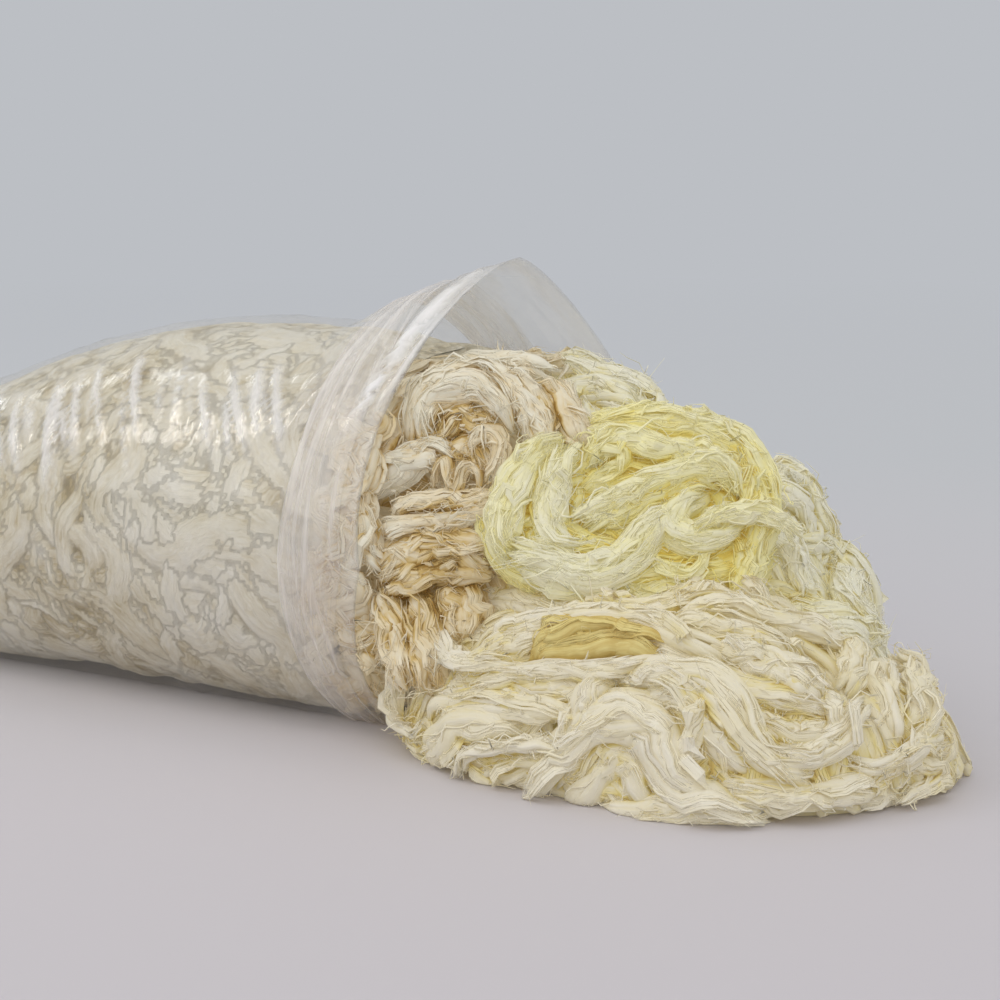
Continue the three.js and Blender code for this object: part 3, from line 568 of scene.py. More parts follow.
def riders(rng, groups, count, length, size, samples, stray=0.0, curl=0.0, past=0.05, sit=(0.42, 0.56),
           tint=0.08,
           roam=0.0, flat=0.75):
    """Finer strands on coarser ones. Each takes a stretch of a random band, may run past its ends by a
    share of its length, and lies on its surface at a place round it that drifts. Towards its own two ends
    it leaves the band by stray along a smooth random direction, curl winds it into a corkscrew and roam
    bends it to and fro. Its ends are marked, for a finish that frays them."""
    reach = [np.linalg.norm(np.diff(g.path, axis=1), axis=-1).sum(1) for g in groups]
    weights = np.array([(r * g.width.mean(1) ** 0.5).sum() for r, g in zip(reach, groups)])
    picks = rng.multinomial(count, weights / weights.sum())
    made = []
    for group, reaches, number in zip(groups, reach, picks):
        if not number:
            continue
        bands, rows = group.path.shape[:2]
        pick = rng.integers(0, bands, number)
        share = np.clip(rng.uniform(*length, number) / reaches[pick], 0.03, 1)
        begin = rng.uniform(-past, 1 - share + past, number)
        s = np.linspace(0, 1, samples)
        at = (begin[:, None] + share[:, None] * s) * (rows - 1)
        kept = np.clip(at, 0, rows - 1.001)
        low = kept.astype(int)
        f = (kept - low)[..., None]

        def take(values):
            return values[pick[:, None], low] * (1 - f) + values[pick[:, None], low + 1] * f

        centre, side, out = take(group.path), take(group.side), take(group.out)
        way = np.cross(out, side)
        centre = centre - way * ((at - kept) * (reaches[pick] / rows)[:, None])[..., None]
        turn = rng.uniform(-0.5, np.pi + 0.5, (number, 1)) + 0.5 * wander(rng, number, s, 0.9)[..., 0]
        turn = turn[..., None]
        deep = rng.uniform(*sit, (number, 1, 1))
        centre = centre + side * np.cos(turn) * take(group.width[..., None]) * deep
        centre = centre + out * np.sin(turn) * take(group.thick[..., None]) * deep
        ends = np.abs(2 * s - 1)[None, :, None]
        leave = ends**3 * rng.exponential(stray + 1e-6, (number, 1, 1))
        centre = centre + leave * (wander(rng, number, s, 1.3, 3) + out * 0.3)
        spin = TURN * s[None, :, None] * rng.uniform(0.5, 1.9, (number, 1, 1))
        spin = spin + rng.uniform(0, TURN, (number, 1, 1))
        wind = rng.exponential(curl + 1e-6, (number, 1, 1)) * smooth(ends)
        centre = centre + wind * (side * np.cos(spin) + out * np.sin(spin))
        if roam:
            centre = centre + roam * rng.exponential(1, (number, 1, 1)) * wander(rng, number, s, 1.6, 3)
        centre[..., 2] = np.maximum(centre[..., 2], 0.4)
        wide = rng.uniform(*size, number)[:, None] * ends_drawn_in(number, samples, 0.3, 0.25)
        strands = Strands(centre, out, wide, wide * flat, take(group.tint[..., None])[..., 0].mean(1) + tint)
        strands.fray = np.broadcast_to(ends[..., 0] ** 3, (number, samples))
        made.append(strands)
    return made


# Meshes

def carried(rng, strands, sides, ridge=0.0, shape=None):
    """The surface of every strand: an oval of its width and thickness carried along its path. ridge is the
    size of waves round the oval, four rates added, whose phase drifts along the strand as pulled fibres
    do."""
    count, samples = strands.path.shape[:2]
    theta = np.arange(sides) / sides * TURN
    swell = np.ones((count, samples, sides))
    if ridge:
        t = np.linspace(0, 1, samples)
        for rate in (2, 3, 5, 7):
            shift = rng.uniform(0, TURN, (count, 1)) + wander(rng, count, t, 0.6)[..., 0] * 1.5
            swell += ridge * rng.uniform(0.3, 1, (count, 1, 1)) * np.sin(rate * theta + shift[..., None])
    cos = (np.cos(theta) * swell)[..., None]
    sin = (np.sin(theta) * swell)[..., None]
    wide = strands.width[..., None, None] / 2
    flat = strands.thick[..., None, None] / 2
    points = strands.path[:, :, None] + strands.side[:, :, None] * cos * wide
    points = points + strands.out[:, :, None] * sin * flat
    if shape:
        points = shape(points)
    steps = np.linalg.norm(np.diff(strands.path, axis=1), axis=-1)
    run = np.concatenate([np.zeros((count, 1)), np.cumsum(steps, 1)], 1) + rng.uniform(0, 400, (count, 1))
    girth = (strands.width.max(1) + strands.thick.max(1)) * 0.8 + 0.1
    around = np.arange(sides + 1) / sides * girth[:, None] + rng.uniform(0, 200, (count, 1))
    points[..., 2] = np.maximum(points[..., 2], 0.02)
    haze = np.broadcast_to(strands.fray[..., None], points.shape[:3])
    weight = strands.width * (run[:, -1:] - run[:, :1]) / samples / sides
    return {"points": points, "centre": strands.path, "run": run, "around": around, "tint": strands.tint,
            "haze": haze, "weight": weight}


def crowding(blocks, cell=1.5, probe=2.2, most=92):
    """How hemmed in each point is, from 0 outside to 1 in a crevice: the surface's area in cells of space,
    blurred three times by its neighbours, read a little way out from the point. Its opposite is kept as the
    shade mark of each block, which paints shade into the crevices."""
    cloud = np.concatenate([b["points"].reshape(-1, 3) for b in blocks])
    weights = np.concatenate([np.repeat(b["weight"].reshape(-1), b["points"].shape[2]) for b in blocks])
    low = cloud.min(0) - 6 * cell
    shape = tuple(((cloud.max(0) - low) / cell + 7).astype(int))
    index = np.ravel_multi_index(tuple(((cloud - low) / cell).astype(int).T), shape)
    field = np.bincount(index, weights, int(np.prod(shape))).reshape(shape)
    for _ in range(3):
        for axis in range(3):
            field = (np.roll(field, 1, axis) + field * 2 + np.roll(field, -1, axis)) / 4
    read = []
    for b in blocks:
        away = unit(b["points"] - b["centre"][:, :, None])
        at = (((b["points"] + away * probe) - low) / cell).astype(int)
        at = np.clip(at, 0, np.array(shape) - 1)
        read.append(field[at[..., 0], at[..., 1], at[..., 2]])
    full = np.percentile(np.concatenate([r.reshape(-1) for r in read]), most)
    for b, r in zip(blocks, read):
        b["tone"] = 1 - smooth(r / full)


def grid_mesh(name, blocks, caps=True, even=True):
    """One mesh of many grids. A block's points are (strand, row, place round it, 3): quads join the rows,
    the last place joins the first, and a face caps each end. Its UV map runs along and round, in
    millimetres."""
    points, loops, uvs, marks, starts = [], [], [], [], []
    base = total = 0
    for b in blocks:
        count, rows, sides = b["points"].shape[:3]
        index = base + np.arange(count * rows * sides).reshape(count, rows, sides)
        ahead = np.roll(index, -1, axis=2)
        quads = np.stack([index[:, :-1], index[:, 1:], ahead[:, 1:], ahead[:, :-1]], -1)
        u = np.broadcast_to(b["run"][:, :, None], (count, rows, sides))
        v0 = np.broadcast_to(b["around"][:, None, :-1], (count, rows, sides))
        v1 = np.broadcast_to(b["around"][:, None, 1:], (count, rows, sides))
        u1 = u
        if "comb" in b:
            u, v0 = b["comb"][..., 0], b["comb"][..., 1]
            u1, v1 = np.roll(u, -1, axis=2), np.roll(v0, -1, axis=2)
        us = np.stack([u[:, :-1], u[:, 1:], u1[:, 1:], u1[:, :-1]], -1)
        vs = np.stack([v0[:, :-1], v0[:, 1:], v1[:, 1:], v1[:, :-1]], -1)
        loops.append(quads.reshape(-1))
        uvs.append(np.stack([us.reshape(-1), vs.reshape(-1)], -1))
        starts.append(total + np.arange(quads.size // 4) * 4)
        total += quads.size
        if caps:
            for row, turned in ((0, 1), (rows - 1, -1)):
                ring = index[:, row, ::turned]
                loops.append(ring.reshape(-1))
                uvs.append(np.stack([u[:, row, ::turned].reshape(-1), v0[:, row, ::turned].reshape(-1)], -1))
                starts.append(total + np.arange(count) * sides)
                total += ring.size
        points.append(b["points"].reshape(-1, 3))
        tone = b.get("tone", np.full((count, rows, sides), 0.5))
        tint = b["tint"]
        if tint.ndim < 3:
            tint = np.broadcast_to(tint[:, :, None], (count, rows, sides))
        haze = b.get("haze", np.zeros_like(tone))
        # The mark holds the painted crevice shade, the tint, and the haze: fraying on cheese, and on film its
        # own haze with painted highlights.
        marks.append(np.stack([tone, tint, haze], -1).reshape(-1, 3))
        base += count * rows * sides
    points, loops, uvs = np.concatenate(points), np.concatenate(loops), np.concatenate(uvs)
    starts, marks = np.concatenate(starts), np.concatenate(marks)
    sizes = np.diff(np.append(starts, total))
    a, b, c = points[loops[starts]], points[loops[starts + 1]], points[loops[starts + 2]]
    d = points[loops[starts + sizes - 1]]
    volume = (np.cross(a, b) * c).sum() + (np.cross(a, c) * d).sum()
    if volume < 0:
        order = np.repeat(2 * starts + sizes - 1, sizes) - np.arange(total)
        loops, uvs = loops[order], uvs[order]
    mesh = bpy.data.meshes.new(name)
    mesh.vertices.add(len(points))
    mesh.vertices.foreach_set("co", (points * MM).astype(np.float32).reshape(-1))
    mesh.loops.add(total)
    mesh.loops.foreach_set("vertex_index", loops.astype(np.int32))
    mesh.polygons.add(len(starts))
    mesh.polygons.foreach_set("loop_start", starts.astype(np.int32))
    mesh.polygons.foreach_set("use_smooth", np.full(len(starts), even))
    mesh.update(calc_edges=True)
    layer = mesh.uv_layers.new(name="fibre")
    layer.data.foreach_set("uv", uvs.astype(np.float32).reshape(-1))
    mark = mesh.attributes.new("mark", "FLOAT_VECTOR", "POINT")
    mark.data.foreach_set("vector", marks.astype(np.float32).reshape(-1))
    piece = bpy.data.objects.new(name, mesh)
    bpy.context.scene.collection.objects.link(piece)
    return piece


def skin_block(points, tint=0.0, run=None):
    """A single grid of points (row, place round it, 3) as a block, with its UV map in true lengths."""
    rows, sides = points.shape[:2]
    lengths = np.linalg.norm(np.diff(points, axis=0), axis=-1).mean(1)
    along = np.concatenate([[0], np.cumsum(lengths)])[None]
    girth = np.linalg.norm(np.roll(points, -1, axis=1) - points, axis=-1).sum(1).mean()
    centre = points.mean(1)[None]
    return {"points": points[None], "centre": centre, "run": along if run is None else run,
            "around": np.linspace(0, girth, sides + 1)[None], "tint": np.full((1, rows), tint),
            "weight": np.full((1, rows), along[0, -1] * girth / rows / sides)}


def settle(piece, node, finish):
    """Gives a piece its finish and the body that carries it, and hides the solid that it stands for."""
    piece.data.materials.append(finish)
    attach(piece, "root")
    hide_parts(node)
    return piece


# Finishes

class Value:
    """A number in a node tree. Python's operators on it add Math nodes."""

    def __init__(self, finish, socket):
        self.finish, self.socket = finish, socket

    def math(self, operation, *others):
        sockets = dict(enumerate((self, *others)))
        made = self.finish.node("ShaderNodeMath", {"operation": operation}, sockets)
        return Value(self.finish, made.outputs[0])

    def __add__(self, other):
        return self.math("ADD", other)

    def __radd__(self, other):
        return self.math("ADD", other)

    def __sub__(self, other):
        return self.math("SUBTRACT", other)

    def __mul__(self, other):
        return self.math("MULTIPLY", other)

    def __pow__(self, other):
        return self.math("POWER", other)

    def held(self):
        """The number kept between 0 and 1."""
        return self.math("MINIMUM", 1.0).math("MAXIMUM", 0.0)


class Finish:
    """A material under construction, or another node tree that is given."""

    def __init__(self, name="", tree=None):
        if tree is None:
            self.material = bpy.data.materials.new(name)
            self.material.use_nodes = True
            tree = self.material.node_tree
        self.tree = tree
        self.tree.nodes.clear()

    def node(self, kind, settings=None, sockets=None):
        """Adds a node: its settings first, with a ramp's stops as (place, colour), then values or links."""
        made = self.tree.nodes.new(kind)
        for key, value in (settings or {}).items():
            if key == "stops":
                ramp = made.color_ramp
                while len(ramp.elements) < len(value):
                    ramp.elements.new(1.0)
                for element, (place, colour) in zip(ramp.elements, value):
                    element.position, element.color = place, (*colour, 1.0)
            else:
                setattr(made, key, value)
        for key, value in (sockets or {}).items():
            target = made.inputs[key]
            value = value.socket if isinstance(value, Value) else value
            if isinstance(value, bpy.types.NodeSocket):
                self.tree.links.new(value, target)
            else:
                target.default_value = value
        return made

    def value(self, node, output=0):
        return Value(self, node.outputs[output])

    def noise(self, vector, scale, detail=2.0, rough=0.5):
        sockets = {"Vector": vector, "Scale": scale, "Detail": detail, "Roughness": rough}
        return self.value(self.node("ShaderNodeTexNoise", None, sockets))

    def split(self, vector):
        made = self.node("ShaderNodeSeparateXYZ", None, {0: vector})
        return [self.value(made, k) for k in range(3)]

    def joined(self, x, y, z):
        return self.node("ShaderNodeCombineXYZ", None, {0: x, 1: y, 2: z}).outputs[0]

    def blend(self, factor, a, b):
        """A colour that goes from a to b."""
        made = self.node("ShaderNodeMix", {"data_type": "RGBA"}, {0: factor, 6: a, 7: b})
        return made.outputs[2]

    def bump(self, height, strength, distance, before=None):
        sockets = {"Height": height, "Strength": strength, "Distance": distance}
        if before:
            sockets["Normal"] = before
        return self.node("ShaderNodeBump", None, sockets).outputs[0]

    def show(self, shader):
        self.node("ShaderNodeOutputMaterial", None, {0: shader})
        return self.material


def cheese_finish(name, stops, gloss=0.62, frayed=False, lines=0.55, glow=0.11, crumple=0.0,
                  plain=False):
    """Pulled cheese: a ramp from a crevice's painted shade to the crest by how hemmed in the surface is,
    combed by fine streaks along the fibre, with a soft moist shine and a faint glow in place of the light
    that spreads inside it. Frayed cheese is cut into threads: it is clear where the comb falls below a level
    that rises towards a strand's ends. Crumple adds a fine grain, and plain cheese is left smooth."""
    f = Finish(name)
    mark = f.split(f.node("ShaderNodeAttribute", {"attribute_name": "mark"}).outputs[1])
    uv = f.node("ShaderNodeUVMap", {"uv_map": "fibre"}).outputs[0]
    along, around, _ = f.split(uv)
    place = f.node("ShaderNodeTexCoord").outputs["Object"]
    broad = f.noise(f.joined(along * 0.03, around * 0.45, 7.0), 1.0, 2.0, 0.55)
    comb = f.noise(f.joined(along * 0.05, around * 1.3, 0.0), 1.0, 3.0, 0.6)
    fine = f.noise(f.joined(along * 0.2, around * 4.0, 3.0), 1.0, 2.0, 0.6)
    cloud = f.noise(place, 90.0, 3.0, 0.6)
    patch = f.noise(place, 26.0, 2.0, 0.5)
    # The ramp's place: the painted crevice shade and the tint from the mark, with random noise.
    height = mark[0] * 0.7 + mark[1] * 0.7 - 0.06 + (cloud - 0.5) * 0.5 + (patch - 0.5) * 0.5
    height = height + (broad - 0.5) * 0.5 + (comb - 0.5) * lines + (fine - 0.5) * lines * 0.5
    normal = f.bump(broad, 0.35, 0.0012)
    if crumple:
        grain = f.noise(place, 420.0, 4.0, 0.65)
        height = height + (grain - 0.5) * crumple + (patch - 0.5) * 0.6 + (cloud - 0.5) * 0.4
        normal = f.bump(grain, 0.3, 0.0008, normal)
    colour = f.node("ShaderNodeValToRGB", {"stops": stops}, {0: height.held()}).outputs[0]
    sockets = {"Base Color": colour, "Roughness": gloss + (cloud - 0.5) * 0.25, "IOR": 1.35,
               "Specular IOR Level": 0.2, "Emission Color": colour, "Emission Strength": glow}
    if not plain:
        normal = f.bump(comb, 0.55, 0.0006, normal)
        normal = f.bump(fine, 0.6, 0.00025, normal)
        sockets["Normal"] = f.bump(cloud, 0.25, 0.0008, normal)
    shader = f.node("ShaderNodeBsdfPrincipled", None, sockets).outputs[0]
    if frayed:
        solid = ((comb * 0.75 + fine * 0.25 - mark[2] * 0.3 - 0.372) * 12.0).held()
        clear = f.node("ShaderNodeBsdfTransparent").outputs[0]
        shader = f.node("ShaderNodeMixShader", None, {0: solid, 1: clear, 2: shader}).outputs[0]
    return f.show(shader)


def film_finish(name, haze, comb_size, tint, gloss=0.09):
    """Clear film: nothing but its shine where it is smooth, and a pale haze in its stretched streaks, to
    which the haze of its mark is added, with painted highlights in it. haze holds the least haze and how much
    the streaks add."""
    f = Finish(name)
    uv = f.node("ShaderNodeUVMap", {"uv_map": "fibre"}).outputs[0]
    along, around, _ = f.split(uv)
    place = f.node("ShaderNodeTexCoord").outputs["Object"]
    comb = f.noise(f.joined(along * comb_size, around * 0.03, 0.0), 1.0, 3.0, 0.6)
    wide = f.noise(f.joined(along * comb_size * 0.3, around * 0.012, 5.0), 1.0, 2.0, 0.5)
    cloud = f.noise(place, 45.0, 2.0, 0.5)
    normal = f.bump(wide, 0.6, 0.0012)
    normal = f.bump(comb, 0.35, 0.0005, normal)
    normal = f.bump(cloud, 0.25, 0.0015, normal)
    facing = f.value(f.node("ShaderNodeLayerWeight", None, {"Blend": 0.5, "Normal": normal}), 1)
    edge = facing**5.0 * 0.32 + 0.045
    clear = f.node("ShaderNodeBsdfTransparent", None, {"Color": (0.992, 0.99, 0.985, 1.0)}).outputs[0]
    shine = f.node("ShaderNodeBsdfGlossy", None, {"Color": (1.0, 1.0, 1.0, 1.0), "Roughness": gloss,
                                                 "Normal": normal}).outputs[0]
    sheen = f.node("ShaderNodeMixShader", None, {0: edge.held(), 1: clear, 2: shine}).outputs[0]
    milk_and_glints = f.node("ShaderNodeBsdfPrincipled", None, {"Base Color": (*tint, 1.0), "Roughness": 0.35,
                                                    "Normal": normal}).outputs[0]
    mark = f.split(f.node("ShaderNodeAttribute", {"attribute_name": "mark"}).outputs[1])
    veil_and_glints = ((comb * 0.5 + wide * 0.5 - 0.5) * 5.0).held() * haze[1] + haze[0] + mark[2]
    mixed = f.node("ShaderNodeMixShader", None, {0: veil_and_glints.held(), 1: sheen, 2: milk_and_glints}).outputs[0]
    return f.show(mixed)


# Settings

class FilmSettings(bpy.types.PropertyGroup):
    wall: FloatProperty(name="Wall", description="Thickness of the film", default=0.00016, unit="LENGTH")
    cuff_proud: FloatProperty(name="Cuff", description="How far the folded cuff stands off the bag",
                              default=0.0009, unit="LENGTH")
    colour: FloatVectorProperty(name="Haze colour", description="Colour of the stretched film", size=3,
                                subtype="COLOR", default=(0.93, 0.92, 0.91))


class StrandSettings(bpy.types.PropertyGroup):
    hair_thin: FloatProperty(name="Thinnest fibre", description="Diameter of the finest fibres",
                             default=0.00025, unit="LENGTH")
    hair_thick: FloatProperty(name="Thickest fibre", description="Diameter of the coarsest fibres",
                              default=0.00055, unit="LENGTH")
    seed: IntProperty(name="Seed", description="Start of all random draws", default=11)
    crest: FloatVectorProperty(name="Crest", description="Colour of dry fluffy crests", size=3,
                               subtype="COLOR", default=(0.76, 0.73, 0.62))


class StageSettings(bpy.types.PropertyGroup):
    floor: FloatVectorProperty(name="Floor", description="Colour of the floor by the object", size=3,
                               subtype="COLOR", default=(0.62, 0.59, 0.62))
    distance_floor: FloatVectorProperty(name="Far floor", description="Colour of the floor behind the object",
                                        size=3, subtype="COLOR", default=(0.56, 0.575, 0.60))
    distance: FloatVectorProperty(name="Distance", description="Colour of the room far away", size=3,
                                  subtype="COLOR", default=(0.503, 0.521, 0.552))
    sky: FloatVectorProperty(name="Sky", description="Colour of the light from all round", size=3,
                             subtype="COLOR", default=(0.97, 0.98, 1.0))
    sky_strength: FloatProperty(name="Sky strength", description="Strength of the light from all round",
                                default=0.40)
    front_strength: FloatProperty(name="Front strength",
                                  description="Strength added towards the camera's side",
                                  default=0.6)
    key_strength: FloatProperty(name="Key light", description="Strength of the soft lights", default=0.72)
    panel_power: FloatProperty(name="Panels", description="Power of the panels that shine in the film",
                               default=1.7, subtype="POWER")


def mm(value):
    """Metres to millimetres."""
    return value / MM


def rng_for(part):
    """A generator of its own for each part of the heap, so that parts don't change one another."""
    return np.random.default_rng(bpy.context.scene.cheese_strands.seed * 100 + part)


def hair_size():
    settings = bpy.context.scene.cheese_strands
    return mm(settings.hair_thin), mm(settings.hair_thick)


def ramp_of(colours, crest=None):
    """The stops of a cheese finish, from a crevice's painted shade to the crest."""
    crest = crest or tuple(bpy.context.scene.cheese_strands.crest)
    return list(zip((0.05, 0.3, 0.58, 0.95), (*colours, crest)))


# Pieces

class OBJECT_OT_bag_film(bpy.types.Operator):
    """Makes the clear film: a thin shell on the bag's surface, with short ripples, a sealed fin and a
    hood"""
    bl_idname = "cheese.bag_film"
    bl_label = "Bag Film"

    def execute(self, context):
        settings = context.scene.cheese_film
        rng = rng_for(1)
        rows, sides = 150, 186
        angle = np.arange(sides) / sides * TURN
        share = np.linspace(0, 1, rows)[:, None]
        x = lerp(BAG_BACK, rim_x(angle)[None, :], share**0.9)
        round_bag, shoulder, hood = (0, TURN), (2.28, 2.66), (0.9, 2.4)
        fine = streaks(rng, x, angle[None], 520, ((BAG_BACK, 20), round_bag), width=(1.2, 2.8),
                       reach=(0.1, 0.32), size=(-0.45, 0.7), lean=20)
        # These shoulder ripples also carry a painted highlight: their haze below is white streaks where the
        # tall panel's glints fall.
        glint_ripples = streaks(rng, x, angle[None], 46, ((-215, -22), shoulder), width=(0.7, 1.5),
                         reach=(0.1, 0.26), size=(0.5, 1.3), lean=34)
        near = smooth((x - MOUTH) / 12)
        crinkle = streaks(rng, x, angle[None], 110, ((MOUTH, 25), hood), width=(1.2, 2.6),
                          reach=(0.12, 0.4), size=(-0.9, 0.9), lean=-16)
        fold = x - HOOD_FOLD["x"] + HOOD_FOLD["slope"] * (angle[None] - HOOD_FOLD["angle"])
        length = np.exp(-(((angle[None] - HOOD_FOLD["angle"] - 0.3) / 0.34) ** 2))
        notch = 0.75 + 0.45 * np.sin(angle[None] * 37 + 2.5 * np.sin(angle[None] * 19 + x * 0.6))
        notch = notch + 0.35 * np.sin(angle[None] * 83 + x * 1.4)
        crease = length * np.exp(-((fold / 2.6) ** 2)) * notch
        second = length * np.exp(-(((fold - 6) / 1.1) ** 2))
        ripple = fine * lerp(0.8, 1.0, near) + glint_ripples + (crinkle + crease * 1.3 + second) * near
        wall = mm(settings.wall)
        outer = bag_at(x, angle[None], -ripple)
        inner = bag_at(x, angle[None], wall - ripple)
        fin = np.linspace(1, 0.15, 6)[:, None] * SEAM_FIN
        crimp = 0.25 * np.sin(fin * 4)
        seam = bag_at(np.full((6, sides), float(BAG_BACK)), angle[None], 0.0)
        flat = seam[..., 2] - SEAM_HEIGHT
        seam = np.stack([seam[..., 0] - fin, seam[..., 1], SEAM_HEIGHT + flat * 0.2 + crimp], -1)
        skin = np.concatenate([seam, outer, inner[::-1][1:]])
        skin[..., 2] = np.maximum(skin[..., 2], 0.02)
        lip = 0.12 * smooth((share - 0.96) / 0.04)
        # Most of this haze is painted highlight: white over the shoulder's glint ripples, along the hood's
        # fold and on its crinkles, where the panels' glints fall. The fine streaks, the rim and a little near
        # the mouth are the film's own pale haze.
        folded = crease * (0.6 + 1.2 * crinkle.clip(0, 1)) + 0.5 * second
        haze = 0.05 * smooth(fine / 0.7) + 0.52 * smooth(glint_ripples) + folded * near + lip
        haze = np.clip(haze + near * (0.035 + 0.12 * smooth(crinkle / 0.6)), 0, 0.85)
        block = skin_block(skin)
        block["haze"] = np.concatenate([np.full((6, sides), 0.5), haze, haze[::-1][1:]])[None]
        piece = grid_mesh("film_bag", [block])
        finish = film_finish("clear film", (0.012, 0.04), 0.4, tuple(settings.colour))
        settle(piece, "bag_film", finish)
        return {"FINISHED"}


class OBJECT_OT_bag_cuff(bpy.types.Operator):
    """Makes the cuff: a second layer of film folded back round the mouth, combed by fine pleats"""
    bl_idname = "cheese.bag_cuff"
    bl_label = "Cuff"

    def execute(self, context):
        settings = context.scene.cheese_film
        rng = rng_for(2)
        rows, sides = 54, 230
        angle = np.arange(sides) / sides * TURN
        left = -18 + 1.5 * np.sin(angle * 3 + 1) - 3 * np.clip(np.sin(angle), 0, 1) ** 2
        right = np.minimum(rim_x(angle) - 6, left + 21 + 3 * np.sin(angle * 2 + 0.5))
        share = np.linspace(0, 1, rows)[:, None]
        x = lerp(left[None], right[None], share)
        pleats = streaks(rng, x, angle[None], 260, ((-30, 14), (0, TURN)), width=(0.5, 1.1),
                         reach=(0.25, 0.9), size=(-0.3, 0.55))
        lip = np.exp(-((share * 12) ** 2)) * 0.35
        proud = mm(settings.cuff_proud) * smooth(share / 0.06) * (1 - 0.75 * smooth((share - 0.55) / 0.45))
        lift = 0.35 + proud + lip + np.clip(pleats, -0.6, 2)
        outer = bag_at(x, angle[None], -lift)
        inner = bag_at(x, angle[None], -np.minimum(lift - mm(settings.wall), 0.3))
        skin = np.concatenate([outer, inner[::-1]])
        skin = np.concatenate([skin, skin[:1]])
        skin[..., 2] = np.maximum(skin[..., 2], 0.02)
        fade = 1 - smooth((share - 0.5) / 0.5)
        haze = np.clip(0.24 * smooth(pleats / 0.7) + 0.14 * fade + 0.2 * lip + 0 * x, 0, 0.6)
        block = skin_block(skin)
        block["haze"] = np.concatenate([haze, haze[::-1] * 0.5, haze[:1]])[None]
        piece = grid_mesh("film_cuff", [block], caps=False)
        finish = film_finish("stretched film", (0.04, 0.26), 0.8, (0.93, 0.89, 0.86), 0.2)
        settle(piece, "bag_film", finish)
        return {"FINISHED"}


